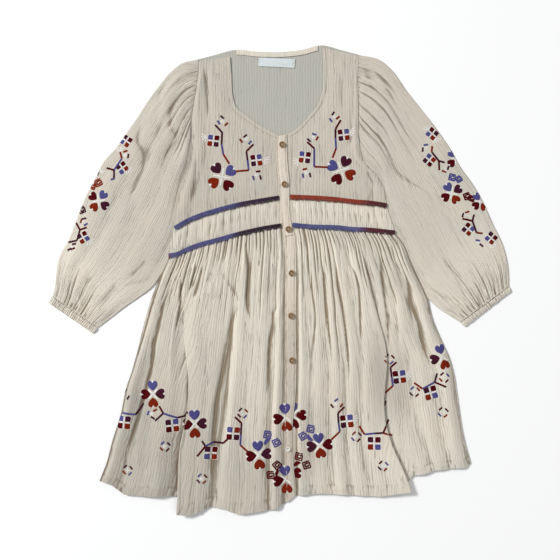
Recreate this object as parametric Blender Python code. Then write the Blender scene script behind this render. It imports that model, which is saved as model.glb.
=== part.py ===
# A girl's peasant dress of crinkled cotton, laid flat on its back.
# It lies on the XY plane: +X to the viewer's right, +Y towards the neck, +Z out of the cloth.
# Left and right are the viewer's. Lengths are in millimetres until a mesh is made.

import math
from collections import namedtuple

import bmesh
import bpy
import numpy as np

# Sizes that the whole dress shares
MM = 0.001
CLOTH = 1.2
SLEEVE_CLOTH = 1.0
SEAM_GAP = 0.35
LAYER_GAP = 0.3
BACK_TOP = CLOTH
FRONT_MID = BACK_TOP + LAYER_GAP + CLOTH / 2
STRIP_LOW = FRONT_MID + CLOTH / 2 + LAYER_GAP
TUCK_LIFT = 1.35
TUCKED_SLEEVE_TOP = 2.45
SLEEVE_EDGE_MID = 1.15
TRIM_WIDTH = 7.4
TRIM_THICK = 1.0
TAPE_WIDTH = 7.7
TAPE_THICK = 1.0

# The dress is all one cloth, and each trim, tape and button has its own colour
COTTON = (0.72, 0.62, 0.50)
COTTON_INSIDE = (0.55, 0.50, 0.42)
TAPE = (0.78, 0.74, 0.66)
LABEL = (0.88, 0.87, 0.84)
COCONUT = (0.13, 0.07, 0.04)
SHELL = (0.80, 0.78, 0.72)
VIOLET_YARN = (0.07, 0.05, 0.15)
RUST_YARN = (0.20, 0.04, 0.02)

# Side outline of the body from the underarm to the hem
SIDE_LEFT = (
    (-148, 222), (-157, 183), (-163, 165), (-171, 144), (-176, 119), (-179, 89),
    (-184, 69), (-189, 42), (-206, 0), (-218, -31), (-232, -79), (-242, -121),
    (-252, -157), (-261, -184), (-269, -223), (-287, -283), (-292, -303), (-306, -341),
)
SIDE_RIGHT = (
    (135, 222), (140, 205), (164, 178), (174, 161), (179, 137), (182, 122), (191, 93),
    (195, 81), (209, 61), (221, 32), (238, -5), (249, -30), (259, -67),
    (274, -103), (286, -129), (295, -160), (300, -193), (311, -264), (323, -311),
)
ARMHOLE_LEFT = (
    (-138.5, 371), (-138.5, 354), (-141, 333), (-144, 314), (-150, 269), (-149, 230), (-148, 222),
)
ARMHOLE_RIGHT = ((132, 380), (132, 333), (133, 290), (133, 252), (135, 222))

# Each side with the heights between which the sleeve is tucked beneath the front
TUCK_LEFT = (SIDE_LEFT, -5, 222)
TUCK_RIGHT = (SIDE_RIGHT, -30, 224)

# Necklines of the front halves and of the back
NECK_LEFT = (
    (-84.3, 379), (-82.5, 349), (-80, 312), (-75, 295), (-54, 277), (-34, 262.5),
    (-21, 255), (-4, 247), (6, 245.5),
)
NECK_RIGHT = ((71.5, 394), (73, 358), (70.5, 317), (63.5, 298), (44, 274), (25, 255), (6, 245.5))
SHOULDER_LEFT = ((-138.5, 371), (-111, 375.5), (-84.3, 379))
SHOULDER_RIGHT = ((71.5, 394), (102, 387.5), (132, 380))
NECK_BACK = (
    (-138.5, 375), (-109, 382.5), (-78, 390.5), (-39, 387.6), (0, 386.8),
    (39, 391), (72, 398.6), (102, 391), (132, 383),
)

# Sides of the back, which stop short of the sleeves' hidden edges, and its hidden seams
BACK_SIDE_LEFT = (
    (-147.6, 222), (-145.5, 206), (-145.5, 188), (-148.5, 171), (-158, 141), (-164.5, 113), (-167.5, 86),
    (-173.5, 60), (-186, 32), (-202.5, 4), (-216, -31), (-231, -79), (-241, -121), (-251, -157),
    (-260, -184), (-268.5, -223), (-286.5, -283), (-291.5, -303), (-304, -338),
)
BACK_SIDE_RIGHT = (
    (134, 222), (131.5, 205), (138.5, 188.5), (154.5, 170.5), (164, 154.5), (168, 135), (171, 119),
    (180.5, 89.5), (184.5, 77.5), (199.5, 55), (210.5, 28), (227.5, -10), (247, -35), (258, -67),
    (273, -103), (285, -129), (294.5, -160), (299.5, -193), (310.5, -264), (320, -306),
)
BACK_UPPER_Y = 124
BACK_LOWER_Y = 78
BACK_HEM = (
    (-304, -338), (-285, -341), (-262, -354), (-200, -359), (-100, -368), (0, -365), (100, -357),
    (190, -354), (215, -338), (240, -322), (265, -316), (320, -306),
)

# Waist seams, which the trims follow, from the side to the placket
UPPER_LEFT = ((-179, 88), (-155, 102), (-130, 112), (-105, 119.5), (-76.5, 127), (-34, 135), (11, 142))
LOWER_LEFT = ((-189, 42), (-178, 43.5), (-154, 54), (-138, 60), (-108, 68), (-76.5, 77), (-34, 87), (14, 95))
UPPER_RIGHT = ((11, 142), (51, 140.5), (95, 137.5), (125, 133.8), (153, 131.5), (181, 127))
LOWER_RIGHT = ((14, 95), (51, 91.3), (102, 89.4), (122, 87), (147, 86), (195, 81))

# Line of the front opening, where the halves meet under the placket
OPENING = (
    (6, 245.5), (5, 205), (8, 165), (11, 142), (11, 120), (14, 95), (17.5, 60), (18.5, 0),
    (18.5, -70), (18.5, -150), (15, -240), (17, -330), (18.5, -371),
)

# Left and right edges of the two placket strips, from the top down
PlacketEdge = namedtuple("PlacketEdge", "left right left_y right_y")
PLACKET_BODICE = (
    PlacketEdge(-5, 11, 243.5, 247), PlacketEdge(-6, 12, 205, 205), PlacketEdge(-2.7, 15.5, 168, 168),
    PlacketEdge(-0.2, 15.7, 143, 143), PlacketEdge(0.2, 16, 117, 117), PlacketEdge(4, 19.4, 94, 94),
    PlacketEdge(7.5, 24.5, 74, 77),
)
PLACKET_SKIRT = (
    PlacketEdge(9, 26, 73.3, 76.3), PlacketEdge(9.7, 27.5, -2, -2), PlacketEdge(8.2, 26.5, -74, -74),
    PlacketEdge(10, 27.5, -145, -145), PlacketEdge(9.3, 26, -200, -200),
    PlacketEdge(8.5, 21.6, -240, -240), PlacketEdge(8.5, 20.9, -278, -278),
    PlacketEdge(10, 22.6, -315, -315), PlacketEdge(11.5, 26.5, -356, -350),
    PlacketEdge(11.5, 26.5, -377, -364),
)

# Hem of each half as share across and height, with a jump where the cloth folds over itself
Hem = namedtuple("Hem", "across y")
HEM_LEFT = (
    Hem(0.0, -341), Hem(0.06, -346), Hem(0.085, -353), Hem(0.13, -363.5), Hem(0.25, -365),
    Hem(0.395, -366), Hem(0.422, -395), Hem(0.46, -398), Hem(0.51, -393.6), Hem(0.58, -384),
    Hem(0.64, -385), Hem(0.69, -392), Hem(0.735, -396), Hem(0.83, -392), Hem(0.91, -388),
    Hem(0.965, -379), Hem(1.0, -371),
)
HEM_RIGHT = (
    Hem(0.0, -371), Hem(0.02, -366), Hem(0.16, -361), Hem(0.24, -362.5), Hem(0.49, -366),
    Hem(0.57, -362.5), Hem(0.65, -357), Hem(0.675, -347), Hem(0.69, -331), Hem(0.73, -329),
    Hem(0.81, -322), Hem(0.89, -319), Hem(0.97, -317.5), Hem(1.0, -311),
)

# Long folds across a panel: share across at the top and at the foot, and rise there
Fold = namedtuple("Fold", "top foot rise_top rise_foot")
FOLDS_SKIRT_LEFT = (
    Fold(0.00, 0.00, 0.0, 0.0), Fold(0.03, 0.035, 1.6, 3.6), Fold(0.075, 0.095, 0.3, 0.4),
    Fold(0.12, 0.17, 1.5, 3.2), Fold(0.17, 0.29, 2.8, 7.5), Fold(0.225, 0.39, 0.3, 0.4),
    Fold(0.25, 0.42, 2.2, 8.4), Fold(0.40, 0.50, 1.6, 4.6), Fold(0.61, 0.575, 0.3, 0.4),
    Fold(0.66, 0.655, 2.8, 7.0), Fold(0.72, 0.76, 0.8, 4.4), Fold(0.80, 0.83, 2.2, 3.6),
    Fold(0.895, 0.88, 0.4, 0.8), Fold(0.93, 0.92, 1.8, 4.6), Fold(0.955, 0.965, 0.0, 0.0),
    Fold(1.00, 1.00, 0.0, 0.0),
)
FOLDS_SKIRT_RIGHT = (
    Fold(0.00, 0.00, 0.0, 0.0), Fold(0.055, 0.035, 0.0, 0.0), Fold(0.09, 0.06, 1.8, 3.6),
    Fold(0.135, 0.115, 0.4, 1.2), Fold(0.19, 0.17, 2.2, 4.2), Fold(0.245, 0.225, 0.3, 1.2),
    Fold(0.30, 0.285, 2.2, 5.2), Fold(0.355, 0.335, 0.3, 1.2), Fold(0.405, 0.40, 2.2, 4.4),
    Fold(0.47, 0.45, 0.3, 1.8), Fold(0.53, 0.54, 2.2, 4.8), Fold(0.59, 0.648, 1.8, 8.0),
    Fold(0.61, 0.68, 0.3, 0.4), Fold(0.66, 0.74, 2.0, 3.2), Fold(0.71, 0.79, 0.4, 1.6),
    Fold(0.79, 0.83, 2.6, 4.8), Fold(0.875, 0.885, 0.3, 0.5), Fold(0.94, 0.94, 2.2, 4.2),
    Fold(1.00, 1.00, 0.0, 0.0),
)
FOLDS_BODICE_LEFT = (
    Fold(0.00, 0.00, 0.0, 0.0), Fold(0.10, 0.08, 1.6, 2.0), Fold(0.17, 0.30, 0.4, 1.0),
    Fold(0.40, 0.45, 1.4, 2.2), Fold(0.75, 0.75, 0.9, 1.6), Fold(0.90, 0.90, 0.3, 0.2),
    Fold(1.00, 1.00, 0.0, 0.0),
)
FOLDS_BODICE_RIGHT = (
    Fold(0.00, 0.00, 0.0, 0.0), Fold(0.10, 0.12, 0.0, 0.0), Fold(0.35, 0.35, 1.0, 2.0),
    Fold(0.60, 0.62, 1.6, 1.4), Fold(0.78, 0.80, 1.0, 2.4), Fold(0.88, 0.89, 0.6, 0.5),
    Fold(0.94, 0.95, 1.0, 1.8), Fold(1.00, 1.00, 0.0, 0.0),
)
FOLDS_WAIST = (
    Fold(0.00, 0.00, 0.0, 0.0), Fold(0.10, 0.10, 0.8, 0.8), Fold(0.50, 0.50, 0.9, 0.9),
    Fold(0.85, 0.85, 0.6, 0.6), Fold(0.92, 0.92, 0.0, 0.0), Fold(1.00, 1.00, 0.0, 0.0),
)

# The sleeves' ends at the armholes, just outside the bodice's edges
ARMSEAM_LEFT = (
    (-139, 374.5), (-139, 354), (-141.5, 333), (-144.5, 314), (-150.5, 269), (-149.5, 230), (-148.5, 222),
)
ARMSEAM_RIGHT = ((132.6, 382.5), (132.6, 333), (133.7, 290), (133.8, 252), (135.9, 222))

# Sleeve outlines from the armhole to the cuff, along the outer fold and the underarm
SLEEVE_LEFT_OUTER = (
    (-139.2, 374), (-166, 368), (-185, 353.5), (-204.5, 330.5), (-221, 308.5), (-240, 279),
    (-263, 246), (-279, 223.5), (-299, 201), (-312, 175), (-328, 145), (-344, 106),
    (-361, 64), (-374, 41.5), (-380, 12), (-382, -12), (-386, -27.3),
)
SLEEVE_LEFT_INNER = (
    (-148.6, 221.5), (-147, 206), (-147.5, 188), (-150, 171), (-160, 141), (-166, 113), (-169, 86),
    (-175, 60), (-188, 32), (-205, 3), (-218, -14), (-240, -30), (-263, -46), (-289, -66), (-308.8, -81),
)
SLEEVE_RIGHT_OUTER = (
    (132.6, 381.5), (169.5, 373), (189, 357), (215, 321), (241, 288.5), (264, 259),
    (286.5, 227), (309, 188), (326, 165), (345, 132), (361, 96.5), (378, 61), (387, 25), (388.8, -10),
)
SLEEVE_RIGHT_INNER = (
    (136, 221.5), (134.5, 205), (141.5, 190), (157, 172), (166.3, 156), (170.2, 135), (173.3, 120),
    (182.4, 90), (186.5, 78), (201.6, 56), (212.7, 28.5), (229.8, -9), (241, -25), (249, -30.5),
    (267, -46.5), (287, -60), (305.5, -71.5),
)
# How far down the underarm the sleeve comes out from beneath the body
SLEEVE_LEFT_FREE = 0.67
SLEEVE_RIGHT_FREE = 0.81

# Corners of each cuff: its seam at the outer fold and underarm, then its edge
CUFF_LEFT = ((-386.4, -28), (-309.2, -81.7), (-393.3, -38.5), (-317, -91))
CUFF_RIGHT = ((389.1, -10.7), (305.9, -72.2), (393.3, -18), (314, -79.5))

# Folds round the top of a sleeve: share across from the outer fold to the underarm
FOLDS_SLEEVE_LEFT = (
    Fold(0.00, 0.00, 0.0, 0.0), Fold(0.06, 0.06, 0.8, 1.6), Fold(0.20, 0.14, 2.6, 3.0),
    Fold(0.32, 0.24, 1.4, 1.6), Fold(0.45, 0.36, 3.4, 3.2), Fold(0.60, 0.52, 1.2, 2.2),
    Fold(0.74, 0.66, 2.8, 2.9), Fold(0.90, 0.84, 0.6, 2.0), Fold(1.00, 1.00, 0.0, 0.0),
)
FOLDS_SLEEVE_RIGHT = (
    Fold(0.00, 0.00, 0.0, 0.0), Fold(0.08, 0.08, 1.2, 1.8), Fold(0.22, 0.22, 2.4, 3.0),
    Fold(0.36, 0.34, 1.6, 2.6), Fold(0.50, 0.50, 2.8, 3.0), Fold(0.66, 0.60, 1.2, 2.0),
    Fold(0.78, 0.74, 2.6, 2.8), Fold(0.92, 0.90, 0.6, 1.4), Fold(1.00, 1.00, 0.0, 0.0),
)

# Button centres on the placket, from the neck down, with the small white one last
BUTTONS = ((3.7, 229.3), (7.6, 162.2), (14.4, 86), (19.7, 11.6), (18.9, -60.7), (20.4, -136.3))
WHITE_BUTTON = (13.5, -286.1)
BUTTON_WIDTH = 10.4
WHITE_BUTTON_WIDTH = 8.0
BUTTON_THICK = 2.4

LABEL_CORNERS = ((-35.9, 377.6), (25.7, 374.8), (-37.2, 362.9), (24.3, 359.9))
LABEL_THICK = 0.8

# How many gathers each gathered edge has
SKIRT_GATHERS = 23
WAIST_GATHERS = 16
HEAD_GATHERS = 9
CUFF_GATHERS = 14

# How high the small gathers stand on each gathered piece
SKIRT_GATHER_RISE = 1.5
WAIST_GATHER_RISE = 1.3
HEAD_GATHER_RISE = 0.8
CUFF_GATHER_RISE = 0.7

# Depths below the waist seam where the skirt's folds start, and where they are full
SKIRT_FOLDS_START = 5.5
SKIRT_FOLDS_FULL = 55

# Distances from the placket's middle at which the cloth is still level, and full again
CLEAR_OF_SKIRT_PLACKET = (11, 17)
CLEAR_OF_BAND_PLACKET = (14, 22)
CLEAR_OF_BODICE_PLACKET = (14, 24)

# Distances from the side over which the tucked sleeve lifts the front
TUCK_REACH = (12, 24)

# Rows down a skirt half, in millimetres below the waist seam
SKIRT_ROWS = (0, 5.5, 13, 26, 48, 85, 135, 195, 260, 350, 462)

# Where a side edge turns the corner under the arm, as a share of the way down
BODICE_CORNER = 0.55
BACK_CORNER = 0.6
PLACKET_MIDDLE_BODICE = 8
PLACKET_MIDDLE_SKIRT = 18


def smoothstep(low, high, value):
    """Rise from 0 at low to 1 at high, level at both ends."""
    share = np.clip((np.asarray(value, float) - low) / (high - low), 0, 1)
    return share * share * (3 - 2 * share)


def curve(points, shares):
    """Points at the given shares of the length of a smooth curve through the named points."""
    points = np.asarray(points, float)
    gaps = np.linalg.norm(np.diff(points, axis=0), axis=1)
    along = np.concatenate(([0], np.cumsum(gaps)))
    slopes = np.gradient(points, along, axis=0)
    wanted = np.asarray(shares, float) * along[-1]
    leg = np.clip(np.searchsorted(along, wanted) - 1, 0, len(gaps) - 1)
    run = gaps[leg][:, None]
    u = (wanted - along[leg])[:, None] / run
    start, end = points[leg], points[leg + 1]
    return ((2 * u**3 - 3 * u**2 + 1) * start + (u**3 - 2 * u**2 + u) * run * slopes[leg]
            + (3 * u**2 - 2 * u**3) * end + (u**3 - u**2) * run * slopes[leg + 1])


def at_heights(points, heights):
    """Points of an outline that falls steadily, at the given heights."""
    line = curve(points, np.linspace(0, 1, 400))
    x = np.interp(-np.asarray(heights, float), -line[:, 1], line[:, 0])
    return np.stack((x, heights), axis=-1)


def edge_heights(top_y, hem_y, down):
    """Heights down the edge of a panel."""
    return top_y + (hem_y - top_y) * np.asarray(down)


def straight(start, end, shares):
    """Evenly spread points from one corner to another."""
    shares = np.asarray(shares)[:, None]
    return np.asarray(start) * (1 - shares) + np.asarray(end) * shares


def upper_part(points, low_y):
    """The named points of an outline above a height, ended at that height."""
    kept = tuple(point for point in points if point[1] > low_y + 4)
    return kept + (tuple(at_heights(points, [low_y])[0]),)


def in_two(first, second, split, shares):
    """Points down an edge that turns a corner: one curve above the split, one below it."""
    shares = np.asarray(shares, float)
    upper = curve(first, np.clip(shares / split, 0, 1))
    lower = curve(second, np.clip((shares - split) / (1 - split), 0, 1))
    return np.where((shares <= split)[:, None], upper, lower)


def patch(top, foot, left, right, across, down):
    """Plan points of a panel between four edges that are already sampled."""
    s = np.asarray(down)[:, None, None]
    t = np.asarray(across)[None, :, None]
    corners = ((1 - s) * ((1 - t) * top[0] + t * top[-1])
               + s * ((1 - t) * foot[0] + t * foot[-1]))
    return ((1 - s) * top[None] + s * foot[None]
            + (1 - t) * left[:, None] + t * right[:, None] - corners)


def fold_rise(folds, t, s):
    """Height of the long folds at each share across, t, and down, s."""
    rise = np.zeros_like(t)
    for row in range(t.shape[0]):
        share = s[row, 0]
        places = np.array([fold.top + (fold.foot - fold.top) * share for fold in folds])
        rises = np.array([fold.rise_top + (fold.rise_foot - fold.rise_top) * share for fold in folds])
        leg = np.clip(np.searchsorted(places, t[row], side="right") - 1, 0, len(folds) - 2)
        blend = smoothstep(0, 1, (t[row] - places[leg]) / (places[leg + 1] - places[leg]))
        rise[row] = rises[leg] * (1 - blend) + rises[leg + 1] * blend
    return rise


def gather_wave(count, across):
    """Uneven small gathers, from 0 in a trough to 1 on a crest."""
    drift = 0.22 * np.sin(2 * math.pi * 3.1 * across) + 0.12 * np.sin(2 * math.pi * 7.3 * across + 1)
    return 0.5 + 0.5 * np.cos(2 * math.pi * (count * across + drift))


def tuck_lift(plan, side, low, high):
    """Lift of the front along the side where the sleeve is tucked beneath it."""
    line = curve(side, np.linspace(0, 1, 160))
    distance = np.min(np.linalg.norm(plan[..., None, :] - line, axis=-1), axis=-1)
    near = 1 - smoothstep(*TUCK_REACH, distance)
    height = plan[..., 1]
    band = smoothstep(low - 25, low, height) * (1 - smoothstep(high, high + 35, height))
    return TUCK_LIFT * near * band


def material(name, colour, roughness):
    """One named cloth, yarn or button finish."""
    made = bpy.data.materials.new(name)
    made.use_nodes = True
    shader = made.node_tree.nodes["Principled BSDF"]
    shader.inputs["Base Color"].default_value = (*colour, 1)
    shader.inputs["Roughness"].default_value = roughness
    shader.inputs["Metallic"].default_value = 0.0
    return made


def add_mesh(name, points, faces, finish):
    """Make one named object from points in millimetres."""
    mesh = bpy.data.meshes.new(name)
    mesh.from_pydata([tuple(point * MM) for point in np.asarray(points)], [], faces)
    solid = bmesh.new()
    solid.from_mesh(mesh)
    bmesh.ops.recalc_face_normals(solid, faces=solid.faces)
    solid.to_mesh(mesh)
    solid.free()
    mesh.materials.append(finish)
    mesh.shade_smooth()
    mesh.set_sharp_from_angle(angle=math.radians(50))
    bpy.context.scene.collection.objects.link(bpy.data.objects.new(name, mesh))


def wall_between(name, upper, lower, finish):
    """Close two matching grids of points, one above the other, into one wall of cloth."""
    rows, columns = upper.shape[:2]
    points = np.concatenate((upper.reshape(-1, 3), lower.reshape(-1, 3)))
    under = rows * columns
    faces = []
    for row in range(rows - 1):
        for column in range(columns - 1):
            a = row * columns + column
            b = a + 1
            c = b + columns
            d = a + columns
            faces.append((a, d, c, b))
            faces.append((under + a, under + b, under + c, under + d))
    rim = list(range(columns))
    rim += [row * columns + columns - 1 for row in range(1, rows)]
    rim += [(rows - 1) * columns + column for column in range(columns - 2, -1, -1)]
    rim += [row * columns for row in range(rows - 2, 0, -1)]
    for here, there in zip(rim, rim[1:] + rim[:1]):
        faces.append((here, there, under + there, under + here))
    add_mesh(name, points, faces, finish)


def cloth_panel(name, plan, height, finish):
    """A wall of cloth about a middle surface that has the given plan and height."""
    middle = np.concatenate((plan, height[..., None]), axis=-1)
    normals = np.cross(np.gradient(middle, axis=0), np.gradient(middle, axis=1))
    normals /= np.linalg.norm(normals, axis=-1, keepdims=True)
    offset = normals * CLOTH / 2
    wall_between(name, middle + offset, middle - offset, finish)


def flat_slab(name, plan, low, high, finish):
    """A level piece of cloth between two heights."""
    upper = np.concatenate((plan, np.full(plan.shape[:2] + (1,), high)), axis=-1)
    lower = np.concatenate((plan, np.full(plan.shape[:2] + (1,), low)), axis=-1)
    wall_between(name, upper, lower, finish)


def moved(line, dx=0.0, dy=0.0):
    """The same line of plan points, moved."""
    return np.asarray(line, float) + (dx, dy)


def skirt_plan(top, hem, left, right, across, down):
    """Plan of a skirt half, whose columns keep their share of the width from waist to hem."""
    s = down[:, None, None]
    t = across[None, :, None]
    chord_top = (1 - across[:, None]) * top[0] + across[:, None] * top[-1]
    hem_y = np.interp(across, [row.across for row in hem], [row.y for row in hem])
    chord_y = (1 - across) * left[-1, 1] + across * right[-1, 1]
    drop = np.stack((np.zeros_like(across), hem_y - chord_y), axis=-1)
    sides = (1 - t) * left[:, None] + t * right[:, None]
    return sides + (1 - s) ** 2 * (top - chord_top)[None] + s**4 * drop[None]


def skirt_half(name, top, hem, left, right, folds, tuck, finish):
    """Gathered skirt front: small gathers at the waist that run into long folds."""
    below = np.array(SKIRT_ROWS, float)
    down = below / below[-1]
    across = np.linspace(0, 1, 2 * SKIRT_GATHERS + 1)
    top_line = curve(top, across)
    left_line = at_heights(left, edge_heights(top_line[0, 1], hem[0].y, down))
    right_line = at_heights(right, edge_heights(top_line[-1, 1], hem[-1].y, down))
    plan = skirt_plan(top_line, hem, left_line, right_line, across, down)
    t = np.ones((len(down), 1)) * across
    s = down[:, None] * np.ones_like(across)
    depth = below[:, None] * np.ones_like(across)
    edge = smoothstep(0, 0.04, np.minimum(across, 1 - across))
    clear = smoothstep(*CLEAR_OF_SKIRT_PLACKET, np.abs(plan[..., 0] - PLACKET_MIDDLE_SKIRT))
    fade = smoothstep(SKIRT_FOLDS_START, 13, depth) * (1 - smoothstep(60, 200, depth))
    small = SKIRT_GATHER_RISE * fade * edge * clear
    rise = fold_rise(folds, t, s) * smoothstep(SKIRT_FOLDS_START, SKIRT_FOLDS_FULL, depth)
    height = FRONT_MID + rise + small * gather_wave(SKIRT_GATHERS, across) + tuck_lift(plan, *tuck)
    cloth_panel(name, plan, height, finish)


def waistband_half(name, top, foot, left, right, tuck, finish):
    """Narrow gathered band between the two waist seams."""
    across = np.linspace(0, 1, 2 * WAIST_GATHERS + 1)
    down = np.array((0, 0.13, 0.5, 0.87, 1.0))
    top_line = moved(curve(top, across), dy=-SEAM_GAP / 2)
    foot_line = moved(curve(foot, across), dy=SEAM_GAP / 2)
    left_line = at_heights(left, edge_heights(top_line[0, 1], foot_line[0, 1], down))
    right_line = at_heights(right, edge_heights(top_line[-1, 1], foot_line[-1, 1], down))
    plan = patch(top_line, foot_line, left_line, right_line, across, down)
    t = np.ones((len(down), 1)) * across
    s = down[:, None] * np.ones_like(across)
    middle = smoothstep(0.12, 0.5, np.minimum(s, 1 - s))
    clear = smoothstep(*CLEAR_OF_BAND_PLACKET, np.abs(plan[..., 0] - PLACKET_MIDDLE_BODICE))
    edge = smoothstep(0, 0.06, np.minimum(across, 1 - across))
    small = WAIST_GATHER_RISE * edge * gather_wave(WAIST_GATHERS, across)
    rise = (fold_rise(FOLDS_WAIST, t, s) + small) * middle * clear
    cloth_panel(name, plan, FRONT_MID + rise + tuck_lift(plan, *tuck), finish)


def bodice_half(name, top, foot, left, right, across, folds, tuck, finish):
    """Smooth front bodice from the shoulder and neck down to the upper waist seam."""
    down = np.concatenate((np.linspace(0, BODICE_CORNER, 10), (0.64, 0.74, 0.84, 0.93, 0.975, 1.0)))
    foot_line = moved(curve(foot, across), dy=SEAM_GAP)
    plan = patch(curve(top, across), foot_line, left(down), right(down), across, down)
    t = np.ones((len(down), 1)) * across
    s = down[:, None] * np.ones_like(across)
    ease = smoothstep(0, 0.15, s) * smoothstep(0.025, 0.12, 1 - s)
    clear = smoothstep(*CLEAR_OF_BODICE_PLACKET, np.abs(plan[..., 0] - PLACKET_MIDDLE_BODICE))
    rise = fold_rise(folds, t, s) * ease * clear
    cloth_panel(name, plan, FRONT_MID + rise + tuck_lift(plan, *tuck), finish)


def tube(name, outer_rings, inner_rings, finish):
    """Close a stack of outer rings and the rings inside them into one hollow wall."""
    rings, count = outer_rings.shape[:2]
    points = np.concatenate((outer_rings.reshape(-1, 3), inner_rings.reshape(-1, 3)))
    inside = rings * count
    faces = []
    for ring in range(rings - 1):
        for place in range(count):
            after = (place + 1) % count
            a, b = ring * count + place, ring * count + after
            faces.append((a, b, b + count, a + count))
            faces.append((inside + a, inside + a + count, inside + b + count, inside + b))
    last = (rings - 1) * count
    for place in range(count):
        after = (place + 1) % count
        faces.append((place, inside + place, inside + after, after))
        faces.append((last + place, last + after, inside + last + after, inside + last + place))
    add_mesh(name, points, faces, finish)


def flattened_rings(path, widths, across, top_height):
    """Outer and inner rings of a flattened tube: level beneath, shaped on top."""
    wall = SLEEVE_CLOTH
    outer_rings, inner_rings = [], []
    for row, width in enumerate(widths):
        inset = (wall + 0.25) / width
        near_edge = 0.9 / width
        beneath = np.concatenate(([1 - near_edge], np.arange(7, 0, -1) / 8, [near_edge]))
        tops = top_height[row].copy()
        tops[0] = tops[-1] = SLEEVE_EDGE_MID
        outer = np.column_stack((path(row, across), tops))
        under = np.column_stack((path(row, beneath), np.zeros(len(beneath))))
        pulled = inset + (1 - 2 * inset) * across
        roof = np.interp(pulled, across, top_height[row]) - wall
        roof[0] = roof[-1] = SLEEVE_EDGE_MID
        inner = np.column_stack((path(row, pulled), roof))
        floor_shares = np.clip(beneath, 1.8 * inset, 1 - 1.8 * inset)
        floor = np.column_stack((path(row, floor_shares), np.full(len(beneath), wall)))
        outer_rings.append(np.concatenate((outer, under)))
        inner_rings.append(np.concatenate((inner, floor)))
    return np.array(outer_rings), np.array(inner_rings)


def sleeve(name, outer_edge, inner_edge, armhole, free_from, folds, finish):
    """Full sleeve pressed flat, gathered at its head and into the cuff, tucked under the body."""
    down = np.array((0, 0.035, 0.09, 0.17, 0.27, 0.38, 0.48, 0.57, 0.66, 0.74, 0.82, 0.90, 0.96, 1.0))
    across = np.array((0, 0.015, 0.045, 0.09, 0.14, 0.19, 0.24, 0.29, 0.34, 0.40, 0.46, 0.52, 0.58,
                       0.64, 0.70, 0.76, 0.81, 0.86, 0.905, 0.945, 0.985, 1.0))
    outer_line = curve(outer_edge, down)
    inner_line = curve(inner_edge, down)
    lengths = np.linalg.norm(inner_line - outer_line, axis=-1)

    def path(row, shares):
        shares = np.asarray(shares)
        chord = outer_line[row] + (inner_line[row] - outer_line[row]) * shares[:, None]
        first_chord = outer_line[0] + (inner_line[0] - outer_line[0]) * shares[:, None]
        return chord + (1 - down[row]) ** 6 * (curve(armhole, shares) - first_chord)

    t = np.ones((len(down), 1)) * across
    s = down[:, None] * np.ones_like(across)
    from_outer = t * lengths[:, None]
    from_inner = (1 - t) * lengths[:, None]
    free = smoothstep(free_from, free_from + 0.12, s)
    puff = smoothstep(0, 22, from_outer) * np.maximum(smoothstep(14, 34, from_inner),
                                                      free * smoothstep(0, 14, from_inner))
    ends = smoothstep(0, 0.12, s) * (0.3 + 0.7 * smoothstep(0, 0.12, 1 - s))
    rise = fold_rise(folds, t, s) * ends
    near_head = smoothstep(0, 0.035, s) * (1 - smoothstep(0.1, 0.25, s))
    head = HEAD_GATHER_RISE * gather_wave(HEAD_GATHERS, t) * near_head
    foot = CUFF_GATHER_RISE * gather_wave(CUFF_GATHERS, t) * smoothstep(0.78, 0.96, s)
    height = TUCKED_SLEEVE_TOP + puff * (0.9 * smoothstep(0, 0.12, s) + rise + head + foot)
    outer_rings, inner_rings = flattened_rings(path, lengths, across, height)
    tube(name, outer_rings, inner_rings, finish)


def cuff(name, corners, finish):
    """Narrow gathered cuff at the end of a sleeve, open for the hand."""
    top_outer, top_inner, foot_outer, foot_inner = np.array(corners, float)
    across = np.concatenate(([0], np.linspace(0.03, 0.97, 2 * CUFF_GATHERS - 1), [1]))
    down = (0.0, 0.5, 1.0)

    def path(row, shares):
        outer = top_outer + (foot_outer - top_outer) * down[row]
        inner = top_inner + (foot_inner - top_inner) * down[row]
        return outer + (inner - outer) * np.asarray(shares)[:, None]

    ridges = np.arange(len(across)) % 2
    height = np.ones((3, 1)) * (2.8 + 0.6 * ridges)
    height[1, 1:-1] += 0.5
    widths = [np.linalg.norm(path(row, (0, 1))[1] - path(row, (0, 1))[0]) for row in range(3)]
    outer_rings, inner_rings = flattened_rings(path, widths, across, height)
    tube(name, outer_rings, inner_rings, finish)


def trim(name, seam, from_x, to_x, tuck, finish):
    """Fuzzy braid along a waist seam, a narrow strip just above the cloth."""
    dense = curve(seam, np.linspace(0, 1, 400))
    low_share, high_share = np.interp((from_x, to_x), dense[:, 0], np.linspace(0, 1, 400))
    line = curve(seam, np.linspace(low_share, high_share, 21))
    tangent = np.gradient(line, axis=0)
    tangent /= np.linalg.norm(tangent, axis=-1, keepdims=True)
    across = np.stack((-tangent[:, 1], tangent[:, 0]), axis=-1) * TRIM_WIDTH / 2
    plan = np.stack((line + across, line, line - across), axis=0)
    lower = np.concatenate((plan, (STRIP_LOW + tuck_lift(plan, *tuck))[..., None]), axis=-1)
    upper = lower + (0, 0, TRIM_THICK)
    upper[1, :, 2] += 0.3
    wall_between(name, upper, lower, finish)


def placket(name, edges, finish):
    """A level strip of folded cloth over the front opening."""
    left = np.array([(edge.left, edge.left_y) for edge in edges])
    right = np.array([(edge.right, edge.right_y) for edge in edges])
    shares = np.linspace(0, 1, 2 * len(edges) - 1)
    plan = np.stack((curve(left, shares), curve(right, shares)), axis=1)
    flat_slab(name, plan, STRIP_LOW, STRIP_LOW + CLOTH, finish)


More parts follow.
